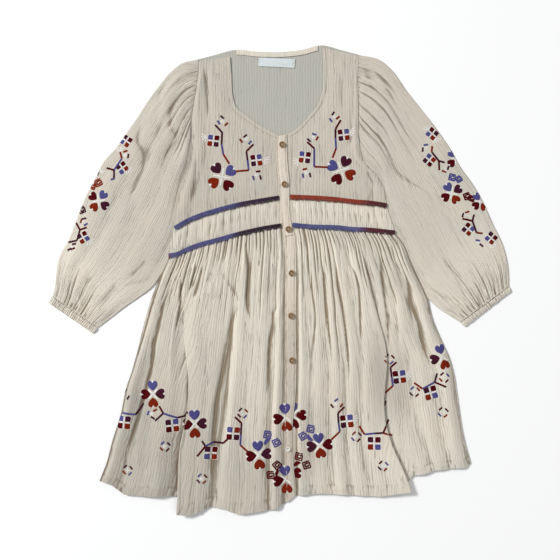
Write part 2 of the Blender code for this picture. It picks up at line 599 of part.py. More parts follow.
def button(name, centre, width, finish):
    """Round turned button with a dished face and a soft rim."""
    profile = ((0.55, 0.62), (0.74, 1.0), (0.92, 0.95), (1.0, 0.6), (1.0, 0.25), (0.8, 0.0))
    sides = 20
    low = STRIP_LOW + CLOTH + 0.3
    points, faces = [], []
    for share, rise in profile:
        for side in range(sides):
            angle = 2 * math.pi * side / sides
            reach = share * width / 2
            points.append((centre[0] + reach * math.cos(angle), centre[1] + reach * math.sin(angle),
                           low + rise * BUTTON_THICK))
    for ring in range(len(profile) - 1):
        for side in range(sides):
            a, b = ring * sides + side, ring * sides + (side + 1) % sides
            faces.append((a, a + sides, b + sides, b))
    faces.append(tuple(range(sides)))
    faces.append(tuple(reversed(range((len(profile) - 1) * sides, len(profile) * sides))))
    add_mesh(name, points, faces, finish)


def back_panels(finish):
    """The three back panels, level on the surface that the dress lies on."""
    across = np.linspace(0, 1, 13)
    down = np.concatenate((np.linspace(0, BACK_CORNER, 10), (0.635, 0.67, 0.71, 0.76, 0.84, 0.92, 1.0)))
    armhole_left = (NECK_BACK[0],) + ARMHOLE_LEFT[1:-1] + (BACK_SIDE_LEFT[0],)
    armhole_right = (NECK_BACK[-1],) + ARMHOLE_RIGHT[1:-1] + (BACK_SIDE_RIGHT[0],)
    left = in_two(armhole_left, upper_part(BACK_SIDE_LEFT, BACK_UPPER_Y), BACK_CORNER, down)
    right = in_two(armhole_right, upper_part(BACK_SIDE_RIGHT, BACK_UPPER_Y), BACK_CORNER, down)
    foot = straight(left[-1], right[-1], across)
    plan = patch(curve(NECK_BACK, across), foot, left, right, across, down)
    flat_slab("back_bodice", plan, 0, BACK_TOP, finish)

    few = np.linspace(0, 1, 7)
    band = edge_heights(BACK_UPPER_Y - SEAM_GAP, BACK_LOWER_Y, np.linspace(0, 1, 4))
    left, right = at_heights(BACK_SIDE_LEFT, band), at_heights(BACK_SIDE_RIGHT, band)
    sides = patch(straight(left[0], right[0], few), straight(left[-1], right[-1], few), left, right,
                  few, np.linspace(0, 1, 4))
    flat_slab("back_waistband", sides, 0, BACK_TOP, finish)

    down = np.linspace(0, 1, 14)
    across = np.linspace(0, 1, 13)
    left = at_heights(BACK_SIDE_LEFT, edge_heights(BACK_LOWER_Y - SEAM_GAP, BACK_SIDE_LEFT[-1][1], down))
    right = at_heights(BACK_SIDE_RIGHT, edge_heights(BACK_LOWER_Y - SEAM_GAP, BACK_SIDE_RIGHT[-1][1], down))
    hem = curve(BACK_HEM, across)
    plan = patch(straight(left[0], right[0], across), hem, left, right, across, down)
    flat_slab("back_skirt", plan, 0, BACK_TOP, finish)


def front_panels(finish):
    """Bodice, waistband and skirt halves of the front, with the opening between them."""
    half_gap = SEAM_GAP / 2
    opening_left = moved(OPENING, dx=-half_gap)
    opening_right = moved(OPENING, dx=half_gap)

    bodice_across = np.array((0, 0.03, 0.06, 0.10, 0.15, 0.22, 0.30, 0.38, 0.46, 0.54, 0.62, 0.70,
                              0.78, 0.86, 0.93, 1.0))
    bodice_opening = upper_part(OPENING, UPPER_LEFT[-1][1])
    corner = BODICE_CORNER
    bodice_half(
        "front_bodice_left", SHOULDER_LEFT, UPPER_LEFT,
        lambda down: in_two(ARMHOLE_LEFT, upper_part(SIDE_LEFT, UPPER_LEFT[0][1]), corner, down),
        lambda down: moved(in_two(NECK_LEFT, bodice_opening, corner, down), dx=-half_gap),
        bodice_across, FOLDS_BODICE_LEFT, TUCK_LEFT, finish)
    bodice_half(
        "front_bodice_right", SHOULDER_RIGHT, UPPER_RIGHT,
        lambda down: moved(in_two(NECK_RIGHT, bodice_opening, corner, down), dx=half_gap),
        lambda down: in_two(ARMHOLE_RIGHT, upper_part(SIDE_RIGHT, UPPER_RIGHT[-1][1]), corner, down),
        1 - bodice_across[::-1], FOLDS_BODICE_RIGHT, TUCK_RIGHT, finish)
    waistband_half("front_waistband_left", UPPER_LEFT, LOWER_LEFT, SIDE_LEFT, opening_left,
                   TUCK_LEFT, finish)
    waistband_half("front_waistband_right", UPPER_RIGHT, LOWER_RIGHT, opening_right, SIDE_RIGHT,
                   TUCK_RIGHT, finish)
    skirt_half("front_skirt_left", moved(LOWER_LEFT, dy=-half_gap), HEM_LEFT, SIDE_LEFT, opening_left,
               FOLDS_SKIRT_LEFT, TUCK_LEFT, finish)
    skirt_half("front_skirt_right", moved(LOWER_RIGHT, dy=-half_gap), HEM_RIGHT, opening_right, SIDE_RIGHT,
               FOLDS_SKIRT_RIGHT, TUCK_RIGHT, finish)


def neck_tape(name, finish):
    """Pale tape sewn inside the back neck edge."""
    x = np.linspace(-74, 64, 15)
    dense = curve(NECK_BACK, np.linspace(0, 1, 400))
    edge = np.interp(x, dense[:, 0], dense[:, 1]) - 0.8
    plan = np.stack((np.stack((x, edge), axis=-1), np.stack((x, edge - TAPE_WIDTH), axis=-1)))
    low = BACK_TOP + LAYER_GAP
    flat_slab(name, plan, low, low + TAPE_THICK, finish)


def neck_label(name, finish):
    """Bare woven label sewn below the neck tape."""
    plan = np.array(LABEL_CORNERS).reshape(2, 2, 2)
    low = BACK_TOP + LAYER_GAP
    flat_slab(name, plan, low, low + LABEL_THICK, finish)


def trims():
    """Two braids on each half, over the upper and the lower waist seams."""
    violet = material("violet_yarn", VIOLET_YARN, 0.8)
    rust = material("rust_yarn", RUST_YARN, 0.8)
    trim("trim_upper_left", UPPER_LEFT, -178.6, -1.5, TUCK_LEFT, violet)
    trim("trim_lower_left", LOWER_LEFT, -188.6, 1.9, TUCK_LEFT, violet)
    trim("trim_upper_right", UPPER_RIGHT, 17.2, 180.6, TUCK_RIGHT, rust)
    trim("trim_lower_right", LOWER_RIGHT, 21.2, 194.6, TUCK_RIGHT, violet)


def build():
    """Clear the file and make every piece of the dress."""
    for old in list(bpy.data.objects):
        bpy.data.objects.remove(old)
    back_panels(material("cotton_inside", COTTON_INSIDE, 0.9))
    cotton = material("cotton_gauze", COTTON, 0.9)
    front_panels(cotton)
    sleeve("sleeve_left", SLEEVE_LEFT_OUTER, SLEEVE_LEFT_INNER, ARMSEAM_LEFT,
           SLEEVE_LEFT_FREE, FOLDS_SLEEVE_LEFT, cotton)
    sleeve("sleeve_right", SLEEVE_RIGHT_OUTER, SLEEVE_RIGHT_INNER, ARMSEAM_RIGHT,
           SLEEVE_RIGHT_FREE, FOLDS_SLEEVE_RIGHT, cotton)
    cuff("cuff_left", CUFF_LEFT, cotton)
    cuff("cuff_right", CUFF_RIGHT, cotton)
    trims()
    placket("placket_bodice", PLACKET_BODICE, cotton)
    placket("placket_skirt", PLACKET_SKIRT, cotton)
    neck_tape("back_neck_tape", material("cotton_tape", TAPE, 0.8))
    neck_label("neck_label", material("label_white", LABEL, 0.6))
    coconut = material("coconut", COCONUT, 0.45)
    for number, centre in enumerate(BUTTONS, start=1):
        button(f"button_{number}", centre, BUTTON_WIDTH, coconut)
    button("button_7", WHITE_BUTTON, WHITE_BUTTON_WIDTH, material("shell_white", SHELL, 0.35))


build()
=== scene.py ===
# A girl's peasant dress of crinkled cotton gauze, laid flat on its back.
# It lies on the XY plane: +X to the viewer's right, +Y towards the neck, +Z out of the cloth.
# Left and right are the viewer's. Lengths are in millimetres until a mesh is made.

import math
from collections import namedtuple
from itertools import groupby

import bpy
import numpy as np
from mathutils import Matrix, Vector
from mathutils.bvhtree import BVHTree


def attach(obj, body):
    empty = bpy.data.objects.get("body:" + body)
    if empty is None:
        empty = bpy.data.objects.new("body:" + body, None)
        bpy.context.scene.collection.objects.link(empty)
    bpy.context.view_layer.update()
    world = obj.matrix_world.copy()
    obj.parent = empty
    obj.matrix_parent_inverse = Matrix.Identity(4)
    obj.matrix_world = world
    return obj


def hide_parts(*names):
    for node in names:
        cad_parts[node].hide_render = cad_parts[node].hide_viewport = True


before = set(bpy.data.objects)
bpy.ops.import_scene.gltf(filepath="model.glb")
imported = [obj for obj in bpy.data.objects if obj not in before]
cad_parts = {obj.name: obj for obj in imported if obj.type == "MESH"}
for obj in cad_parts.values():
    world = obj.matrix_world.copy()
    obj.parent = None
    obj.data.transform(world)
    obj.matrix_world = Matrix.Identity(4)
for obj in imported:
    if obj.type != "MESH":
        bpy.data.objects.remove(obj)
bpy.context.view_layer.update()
bpy.ops.object.select_all(action="DESELECT")

# BACK OF THE DRESS
# Three panels of the same double cotton gauze as the front, cut flat and sewn up the sides.
# They lie under everything else, and only the inside of the back bodice shows, through the neck.
# Their gauze is painted darker than the front's, as the shade it lies in.

MM = 0.001
GAUZE = 0.8
THIN_GAUZE = 0.7
BACK_CRINKLE = 0.35
BACK_MID = 0.62

BACK_SIDE_LEFT = (
    (-147.6, 222), (-145.5, 206), (-145.5, 188), (-148.5, 171), (-158, 141), (-164.5, 113), (-167.5, 86),
    (-173.5, 60), (-186, 32), (-202.5, 4), (-216, -31), (-231, -79), (-241, -121), (-251, -157),
    (-260, -184), (-268.5, -223), (-286.5, -283), (-291.5, -303), (-304, -338),
)
BACK_SIDE_RIGHT = (
    (134, 222), (131.5, 205), (138.5, 188.5), (154.5, 170.5), (164, 154.5), (168, 135), (171, 119),
    (180.5, 89.5), (184.5, 77.5), (199.5, 55), (210.5, 28), (227.5, -10), (247, -35), (258, -67),
    (273, -103), (285, -129), (294.5, -160), (299.5, -193), (310.5, -264), (320, -306),
)
BACK_UPPER_Y = 124
BACK_LOWER_Y = 78
BACK_HEM = (
    (-304, -338), (-285, -341), (-262, -354), (-200, -359), (-100, -368), (0, -365), (100, -357),
    (190, -354), (215, -338), (240, -322), (265, -316), (320, -306),
)
NECK_BACK = (
    (-138.5, 375), (-109, 382.5), (-78, 390.5), (-39, 387.6), (0, 386.8),
    (39, 391), (72, 398.6), (102, 391), (132, 383),
)
ARMHOLE_LEFT = (
    (-138.5, 371), (-138.5, 354), (-141, 333), (-144, 314), (-150, 269), (-149, 230), (-148, 222),
)
ARMHOLE_RIGHT = ((132, 380), (132, 333), (133, 290), (133, 252), (135, 222))
BACK_CORNER = 0.6
SEAM_GAP = 0.35


def smoothstep(low, high, value):
    """Rise from 0 at low to 1 at high, level at both ends."""
    share = np.clip((np.asarray(value, float) - low) / (high - low), 0, 1)
    return share * share * (3 - 2 * share)


def curve(points, shares):
    """Points at the given shares of the length of a smooth curve through the named points."""
    points = np.asarray(points, float)
    gaps = np.linalg.norm(np.diff(points, axis=0), axis=1)
    along = np.concatenate(([0], np.cumsum(gaps)))
    slopes = np.gradient(points, along, axis=0)
    wanted = np.asarray(shares, float) * along[-1]
    leg = np.clip(np.searchsorted(along, wanted) - 1, 0, len(gaps) - 1)
    run = gaps[leg][:, None]
    u = (wanted - along[leg])[:, None] / run
    start, end = points[leg], points[leg + 1]
    return ((2 * u**3 - 3 * u**2 + 1) * start + (u**3 - 2 * u**2 + u) * run * slopes[leg]
            + (3 * u**2 - 2 * u**3) * end + (u**3 - u**2) * run * slopes[leg + 1])


def at_heights(points, heights):
    """Points of an outline that falls steadily, at the given heights."""
    line = curve(points, np.linspace(0, 1, 400))
    x = np.interp(-np.asarray(heights, float), -line[:, 1], line[:, 0])
    return np.stack((x, heights), axis=-1)


def edge_heights(top_y, hem_y, down):
    """Heights down the edge of a panel."""
    return top_y + (hem_y - top_y) * np.asarray(down)


def straight(start, end, shares):
    """Evenly spread points from one corner to another."""
    shares = np.asarray(shares)[:, None]
    return np.asarray(start) * (1 - shares) + np.asarray(end) * shares


def upper_part(points, low_y):
    """The named points of an outline above a height, ended at that height."""
    kept = tuple(point for point in points if point[1] > low_y + 4)
    return kept + (tuple(at_heights(points, [low_y])[0]),)


def in_two(first, second, split, shares):
    """Points down an edge that turns a corner: one curve above the split, one below it."""
    shares = np.asarray(shares, float)
    upper = curve(first, np.clip(shares / split, 0, 1))
    lower = curve(second, np.clip((shares - split) / (1 - split), 0, 1))
    return np.where((shares <= split)[:, None], upper, lower)


def patch(top, foot, left, right, across, down):
    """Plan points of a panel between four edges that are already sampled."""
    s = np.asarray(down)[:, None, None]
    t = np.asarray(across)[None, :, None]
    corners = ((1 - s) * ((1 - t) * top[0] + t * top[-1])
               + s * ((1 - t) * foot[0] + t * foot[-1]))
    return ((1 - s) * top[None] + s * foot[None]
            + (1 - t) * left[:, None] + t * right[:, None] - corners)


def soft_noise(x, y, seed):
    """Smooth uneven heights between -1 and 1, one to each unit square."""
    cell_x, cell_y = np.floor(x), np.floor(y)

    def corner(dx, dy):
        value = np.sin((cell_x + dx) * 127.1 + (cell_y + dy) * 311.7 + seed * 74.7) * 43758.5453
        return 2 * (value - np.floor(value)) - 1

    u, v = smoothstep(0, 1, x - cell_x), smoothstep(0, 1, y - cell_y)
    return ((1 - v) * ((1 - u) * corner(0, 0) + u * corner(1, 0))
            + v * ((1 - u) * corner(0, 1) + u * corner(1, 1)))


def crinkle(across, along, seed):
    """The gauze's own crinkle in millimetres: long narrow puckers that run down the grain."""
    wander = 4.0 * soft_noise(across / 31, along / 120, seed)
    wander += 1.2 * soft_noise(across / 9, along / 45, seed + 5)
    broad = soft_noise((across + wander) / 7.6, along / 110, seed + 1)
    narrow = soft_noise((across + wander) / 4.3, along / 60, seed + 2)
    tight = soft_noise((across + wander) / 2.6, along / 34, seed + 3)
    strength = 0.8 + 0.5 * soft_noise(across / 40, along / 60, seed + 6)
    return strength * (0.24 * broad + 0.26 * narrow + 0.17 * tight)


def blurred(grid, reach, axis):
    """The grid averaged over its neighbours along one axis."""
    index = np.arange(grid.shape[axis])
    steps = [np.take(grid, np.clip(index + step, 0, len(index) - 1), axis)
             for step in range(-reach, reach + 1)]
    return np.mean(steps, axis=0)


def new_piece(name, points, faces):
    """A piece from its points in millimetres and its faces."""
    mesh = bpy.data.meshes.new(name)
    mesh.from_pydata((points * MM).tolist(), [], faces)
    piece = bpy.data.objects.new(name, mesh)
    bpy.context.scene.collection.objects.link(piece)
    return piece


def cloth_sheet(name, middle, grain, thickness=GAUZE, offset=0.0, gather=0.12, wash=1.0, crease=0.0):
    """One layer of cloth through a grid of points, whose own UV map follows the grain.

    A grain map that is a column wider than the grid closes the cloth into a tube. Over the grid,
    gather is how much small crease lines show, painted dark as shade; wash how
    light the cloth is, partly its own tone and partly painted light and shade; and crease the
    painted shade along pressed creases.
    """
    deep, columns = middle.shape[:2]
    wide = grain.shape[1]
    row, column = np.arange(deep)[:, None], np.arange(wide)[None, :]
    points, spots = row * columns + column % columns, row * wide + column

    def quads(grid):
        return np.stack((grid[:-1, :-1], grid[1:, :-1], grid[1:, 1:], grid[:-1, 1:]), axis=-1).reshape(-1, 4)

    piece = new_piece(name, middle.reshape(-1, 3), quads(points).tolist())
    mesh = piece.data
    spread = grain.reshape(-1, 2)[quads(spots).ravel()] * MM
    mesh.uv_layers.new(name="grain").data.foreach_set("uv", spread.ravel())
    high = middle[..., 2]
    # The fold mark: painted shade where the cloth lies below the cloth around it, painted highlight where it
    # lies above
    near = high - blurred(blurred(high, 4, 1), 3, 0)
    wide = high - blurred(blurred(high, 13, 1), 8, 0)
    fold = np.clip(0.5 + near / 2.0 + wide / 7.0, 0, 1)
    for label, mark in (("fold", fold), ("gather", gather), ("wash", wash), ("crease", crease)):
        spread = np.broadcast_to(mark, high.shape).astype(float).ravel()
        mesh.attributes.new(label, "FLOAT", "POINT").data.foreach_set("value", spread)
    bpy.ops.object.select_all(action="DESELECT")
    bpy.context.view_layer.objects.active = piece
    piece.select_set(True)
    bpy.ops.object.modifier_add(type="SOLIDIFY")
    wall = piece.modifiers[-1]
    wall.thickness, wall.offset = thickness * MM, offset
    bpy.ops.object.modifier_apply(modifier=wall.name)
    bpy.ops.object.shade_smooth_by_angle(angle=math.radians(65))
    bpy.ops.object.select_all(action="DESELECT")
    return piece


def add_node(tree, kind, joined=None, **settings):
    """Add a shader node beside the others, with its options set and its inputs joined or given values."""
    node = tree.nodes.new(kind if kind.startswith("NodeGroup") else "ShaderNode" + kind)
    row, column = divmod(len(tree.nodes) - 1, 8)
    node.location = (220 * column, -300 * row)
    for key, value in settings.items():
        setattr(node, key, value)
    for key, value in (joined or {}).items():
        if isinstance(value, bpy.types.NodeSocket):
            tree.links.new(value, node.inputs[key])
        else:
            node.inputs[key].default_value = value
    return node


def worked_out(tree, operation, *values, **settings):
    """The result of a Math node on sockets or numbers."""
    return add_node(tree, "Math", dict(enumerate(values)), operation=operation, **settings).outputs[0]


def added_to(tree, base, more, weight):
    """A base with so much more of something else."""
    return worked_out(tree, "MULTIPLY_ADD", more, weight, base)


def scaled(tree, vector, factor):
    """A vector or colour times a number."""
    return add_node(tree, "VectorMath", {0: vector, 3: factor}, operation="SCALE").outputs[0]


def noise(tree, place, scale, detail=2.0, roughness=0.5):
    """Cloudy noise over a place."""
    return add_node(tree, "TexNoise", {"Vector": place, "Scale": scale, "Detail": detail,
                                       "Roughness": roughness}).outputs


def bands(tree, place, scale, distortion, detail=2.0, detail_scale=1.0, **settings):
    """Bands or rings over a place, from 0 to 1 and back."""
    inputs = {"Vector": place, "Scale": scale, "Distortion": distortion, "Detail": detail,
              "Detail Scale": detail_scale}
    return add_node(tree, "TexWave", inputs, **settings).outputs["Fac"]


def map_of(tree, name):
    """One of the piece's own UV maps."""
    return add_node(tree, "UVMap", uv_map=name).outputs[0]


def colours(tree, share, *stops):
    """The colour at a share of a ramp, whose stops are each a position and a colour."""
    ramp = add_node(tree, "ValToRGB", {"Fac": share})
    elements = ramp.color_ramp.elements
    for element, (position, colour) in zip(elements, (stops[0], stops[-1])):
        element.position, element.color = position, (*colour, 1)
    for position, colour in stops[1:-1]:
        elements.new(position).color = (*colour, 1)
    return ramp.outputs["Color"]


def new_group(name, takes, gives):
    """A node group with named inputs and outputs, and the sockets inside it."""
    group = bpy.data.node_groups.new(name, "ShaderNodeTree")
    for label, kind, value in takes:
        socket = group.interface.new_socket(label, in_out="INPUT", socket_type="NodeSocket" + kind)
        if value is not None:
            socket.default_value = value
    for label in gives:
        group.interface.new_socket(label, in_out="OUTPUT", socket_type="NodeSocketFloat")
    return group, add_node(group, "NodeGroupInput").outputs, add_node(group, "NodeGroupOutput").inputs


def new_finish(name, **plain):
    """A material whose shader has plain values on its own sockets, named with _ for a space."""
    made = bpy.data.materials.new(name)
    made.use_nodes = True
    for label, value in plain.items():
        made.node_tree.nodes["Principled BSDF"].inputs[label.replace("_", " ")].default_value = value
    return made, made.node_tree


def surfaced(made, colour, height, strength, distance):
    """The material with its colour and its relief joined to the shader."""
    tree = made.node_tree
    shader = tree.nodes["Principled BSDF"]
    bump = add_node(tree, "Bump", {"Height": height, "Strength": strength, "Distance": distance})
    tree.links.new(colour, shader.inputs["Base Color"])
    tree.links.new(bump.outputs[0], shader.inputs["Normal"])
    return made


def double_gauze_group():
    """Puckers, crease lines and open weave of double gauze: a height, a tone with painted shade in the
    puckers' hollows, and the crease lines, which the materials paint dark as shade.
    """
    group, given, made = new_group(
        "double_gauze", [("Grain", "Vector", None), ("Pucker", "Float", 1.0), ("Gather", "Float", 0.1)],
        ["Height", "Tone", "Line"])
    grain = given["Grain"]
    lean = scaled(group, noise(group, grain, 34.0)["Color"], 0.007)
    led = add_node(group, "VectorMath", {0: grain, 1: lean}, operation="ADD").outputs[0]

    def stretched(*scale):
        return add_node(group, "Mapping", {"Vector": led, "Scale": scale}).outputs[0]

    puckers = noise(group, stretched(300, 16, 1), 1.0, 3.0, 0.6)["Fac"]
    creping = noise(group, stretched(700, 60, 1), 1.0, 2.0, 0.6)["Fac"]
    ribs = bands(group, stretched(1, 0.07, 1), 66.0, 3.4, detail_scale=1.6)
    # Thin crease lines, sunk into the relief and painted dark by the materials as the shade in them
    lines = []
    for stretch, narrow in (((120, 5, 1), 0.022), ((210, 9, 1), 0.020)):
        uneven = noise(group, stretched(*stretch), 1.0, 1.0, 0.6)["Fac"]
        apart = worked_out(group, "ABSOLUTE", worked_out(group, "SUBTRACT", uneven, 0.5))
        shown = {"Value": apart, "From Max": narrow, "To Min": 1.0, "To Max": 0.0}
        lines.append(add_node(group, "MapRange", shown, interpolation_type="SMOOTHSTEP").outputs[0])
    either = added_to(group, lines[0], lines[1], 0.6)
    line = worked_out(group, "MULTIPLY", either, given["Gather"], use_clamp=True)
    yarns = [bands(group, grain, 500.0, 0.6, bands_direction=way) for way in "XY"]
    weave = worked_out(group, "MAXIMUM", *yarns)
    relief = worked_out(group, "MULTIPLY", puckers, given["Pucker"])
    for more, weight in ((creping, 0.4), (ribs, 0.22), (line, -0.7), (weave, 0.06)):
        relief = added_to(group, relief, more, weight)
    # The tone follows the puckers' relief: painted shade in their hollows
    tone = added_to(group, worked_out(group, "ADD", puckers, creping), ribs, 0.30)
    for label, socket in (("Height", relief), ("Tone", tone), ("Line", line)):
        group.links.new(socket, made[label])
    return group


DOUBLE_GAUZE = double_gauze_group()


def gauze(name, shade, cloth, light, pucker=1.0, lift=0.0009):
    """Crinkled cotton: painted shade, brown in its creases and greyer in its troughs, and a paler,
    pinker painted highlight on its ridges.
    """
    made, tree = new_finish(name, Roughness=0.92, Specular_IOR_Level=0.2, Sheen_Weight=0.12)
    gather, fold, wash, crease = [add_node(tree, "Attribute", attribute_name=label).outputs["Fac"]
                                  for label in ("gather", "fold", "wash", "crease")]
    crimp = add_node(tree, "Group", {"Grain": map_of(tree, "grain"), "Gather": gather, "Pucker": pucker},
                     node_tree=DOUBLE_GAUZE).outputs
    patchy = noise(tree, add_node(tree, "TexCoord").outputs["Object"], 14.0, 3.0)["Fac"]
    # How deep in painted shade each point is: the fold mark, the puckers' tone and the crease marks, with an
    # uneven tone of the cloth's own
    depth = fold
    for more, weight in ((crimp["Tone"], 0.42), (patchy, 0.25), (crease, -0.5), (crimp["Line"], -0.42)):
        depth = added_to(tree, depth, more, weight)
    # The deepest painted shade, browner than the shade colour, in the creases
    deepest = [part * tint for part, tint in zip(shade, (0.80, 0.72, 0.62))]
    cloth_in_painted_shade = colours(tree, depth, (0.54, deepest), (0.72, shade), (0.94, cloth), (1.0, light))
    tint = colours(tree, patchy, (0.38, (0.975, 1.0, 0.99)), (0.62, (1.02, 0.997, 0.98)))
    tinted = add_node(tree, "VectorMath", {0: cloth_in_painted_shade, 1: tint}, operation="MULTIPLY").outputs[0]
    return surfaced(made, scaled(tree, tinted, wash), crimp["Height"], 1.0, lift)


def dress_piece(piece, finish, replaced):
    """Give a piece its finish, and let it ride and stand for its plain solids."""
    piece.data.materials.clear()
    piece.data.materials.append(finish)
    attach(piece, "root")
    if replaced:
        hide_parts(*replaced)
    return piece


def level(plan, high):
    """Plan points given a height."""
    return np.concatenate((plan, np.broadcast_to(high, plan.shape[:2])[..., None]), axis=-1)


# The same gauze as the front, painted darker as the shade inside the neck
inside = gauze("gauze_inside", (0.29, 0.285, 0.24), (0.395, 0.385, 0.34), (0.44, 0.43, 0.385),
               pucker=0.6, lift=0.0008)


def back_panel(node, plan, seed):
    """One level panel of the back, from the plan of its points."""
    waves = BACK_CRINKLE * crinkle(plan[..., 0], -plan[..., 1], seed)
    panel = cloth_sheet(node + "_cloth", level(plan, BACK_MID + waves), plan, thickness=THIN_GAUZE)
    dress_piece(panel, inside, [node])


down = np.concatenate((np.linspace(0, BACK_CORNER, 64), np.linspace(BACK_CORNER, 1, 24)[1:]))
across = np.linspace(0, 1, 90)
left = in_two((NECK_BACK[0],) + ARMHOLE_LEFT[1:-1] + (BACK_SIDE_LEFT[0],),
              upper_part(BACK_SIDE_LEFT, BACK_UPPER_Y), BACK_CORNER, down)
right = in_two((NECK_BACK[-1],) + ARMHOLE_RIGHT[1:-1] + (BACK_SIDE_RIGHT[0],),
               upper_part(BACK_SIDE_RIGHT, BACK_UPPER_Y), BACK_CORNER, down)
plan = patch(curve(NECK_BACK, across), straight(left[-1], right[-1], across), left, right, across, down)
back_panel("back_bodice", plan, 5)

for node, top_y, foot_y, hem, columns, rows_down, seed, flat, area in (
        ("back_waistband", BACK_UPPER_Y, BACK_LOWER_Y, None, 60, 12, 6, (0.40, 0.047), 0.0175),
        ("back_skirt", BACK_LOWER_Y, None, BACK_HEM, 120, 80, 7, (0.70, 0.45), 0.26)):
    across, down = np.linspace(0, 1, columns), np.linspace(0, 1, rows_down)
    left, right = [at_heights(side, edge_heights(top_y - SEAM_GAP, foot_y or side[-1][1], down))
                   for side in (BACK_SIDE_LEFT, BACK_SIDE_RIGHT)]
    foot = curve(hem, across) if hem else straight(left[-1], right[-1], across)
    plan = patch(straight(left[0], right[0], across), foot, left, right, across, down)
    back_panel(node, plan, seed)

# SLEEVES
# Full sleeves of the same gauze, each one piece sewn to a tube, gathered at the head into the
# armhole and again into the cuff. Laid out, each tube is pressed flat and tucked under the body.

TUCKED_TOP = 2.45
EDGE_MID = 1.15
UNDERSIDE = 0.1
SLEEVE_CUT = (230, 430)
SLEEVE_ROUNDING = 2.6
CRINKLE = 0.55
# How much lighter the sleeve foot and the cuffs are painted, as painted light
FOOT_PAINTED_LIGHT = 1.08
HEAD_GATHERS = 9
CUFF_GATHERS = 14
Fold = namedtuple("Fold", "top foot rise_top rise_foot")
Crease = namedtuple("Crease", "width rise line")


def rows(kind, *table):
    """The rows of a table, with the columns named."""
    return tuple(kind(*row) for row in table)


ARMSEAM_LEFT = (
    (-139, 374.5), (-139, 354), (-141.5, 333), (-144.5, 314), (-150.5, 269), (-149.5, 230), (-148.5, 222),
)
ARMSEAM_RIGHT = ((132.6, 382.5), (132.6, 333), (133.7, 290), (133.8, 252), (135.9, 222))
SLEEVE_LEFT_OUTER = (
    (-139.2, 374), (-166, 368), (-185, 353.5), (-204.5, 330.5), (-221, 308.5), (-240, 279),
    (-263, 246), (-279, 223.5), (-299, 201), (-312, 175), (-328, 145), (-344, 106),
    (-361, 64), (-374, 41.5), (-380, 12), (-382, -12), (-386, -27.3),
)
SLEEVE_LEFT_INNER = (
    (-148.6, 221.5), (-147, 206), (-147.5, 188), (-150, 171), (-160, 141), (-166, 113), (-169, 86),
    (-175, 60), (-188, 32), (-205, 3), (-218, -14), (-240, -30), (-263, -46), (-289, -66), (-308.8, -81),
)
SLEEVE_RIGHT_OUTER = (
    (132.6, 381.5), (169.5, 373), (189, 357), (215, 321), (241, 288.5), (264, 259),
    (286.5, 227), (309, 188), (326, 165), (345, 132), (361, 96.5), (378, 61), (387, 25), (388.8, -10),
)
SLEEVE_RIGHT_INNER = (
    (136, 221.5), (134.5, 205), (141.5, 190), (157, 172), (166.3, 156), (170.2, 135), (173.3, 120),
    (182.4, 90), (186.5, 78), (201.6, 56), (212.7, 28.5), (229.8, -9), (241, -25), (249, -30.5),
    (267, -46.5), (287, -60), (305.5, -71.5),
)
FOLDS_SLEEVE_LEFT = rows(
    Fold,
    (0, 0, 0, 0), (0.06, 0.06, 0.8, 1.6), (0.2, 0.14, 2.6, 3), (0.32, 0.24, 1.4, 1.6),
    (0.45, 0.36, 3.4, 3.2), (0.6, 0.52, 1.2, 2.2), (0.74, 0.66, 2.8, 2.9), (0.9, 0.84, 0.6, 2), (1, 1, 0, 0),
)
FOLDS_SLEEVE_RIGHT = rows(
    Fold,
    (0, 0, 0, 0), (0.08, 0.08, 1.2, 1.8), (0.22, 0.22, 2.4, 3), (0.36, 0.34, 1.6, 2.6), (0.5, 0.5, 2.8, 3),
    (0.66, 0.6, 1.2, 2), (0.78, 0.74, 2.6, 2.8), (0.92, 0.9, 0.6, 1.4), (1, 1, 0, 0),
)
CREASES_SLEEVE_LEFT = rows(
    Crease,
    (5, -1.6, ((-143, 335), (-167, 326), (-177, 309), (-185, 286), (-183, 254), (-177, 244), (-193, 215),
     (-209, 190), (-216, 164))),
    (3.4, -1.2, ((-199, 341), (-204, 319), (-209, 300), (-216, 290))),
    (5.5, -1.7, ((-223, 297), (-238, 261), (-241, 232), (-232, 215), (-233, 190), (-245, 161), (-254, 139),
     (-261, 103), (-267, 79))),
    (6, 1.3, ((-187, 335), (-196, 293), (-199, 261), (-193, 251))),
    (2.2, -0.9, ((-180, 276), (-167, 275), (-151, 270))),
    (2.2, -0.9, ((-177, 249), (-160, 244), (-150, 235))),
    (6, -1.2, ((-151, 222), (-160, 190), (-173, 157), (-180, 118), (-184, 93))),
    (3, -1.2, ((-361, 42), (-371, -4), (-377, -30))),
    (3, -1.1, ((-348, 12), (-354, -3), (-358, -17))),
    (3.2, -1.3, ((-319, 18), (-335, -20), (-345, -50))),
    (3.2, -1.3, ((-270, 3), (-293, -26), (-316, -53))),
    (4, -1.4, ((-222, 44), (-238, 21), (-270, -1))),
)
CREASES_SLEEVE_RIGHT = rows(
    Crease,
    (3.4, -1.4, ((155, 360), (173, 341), (184, 320), (197, 295), (197, 285))),
    (3.4, -1.3, ((167, 350), (184, 332), (206, 309), (216, 288))),
    (3, -1.1, ((139, 371), (153, 334), (165, 307))),
    (6, -2, ((144, 305), (155, 285), (161, 269), (167, 246), (180, 217), (197, 185), (216, 169), (241, 153),
     (261, 133), (274, 117), (284, 101))),
    (6, 1.3, ((138, 309), (148, 263), (161, 230), (184, 191))),
    (3, -1.1, ((248, -9), (287, -38), (320, -64))),
    (3, -1.2, ((323, 21), (337, -13), (343, -43))),
    (3, -1.2, ((347, 38), (357, 4), (362, -30))),
    (3, -1.1, ((369, 52), (379, 18), (382, -13))),
    (4, -1.3, ((272, 43), (299, 1), (320, -42))),
)


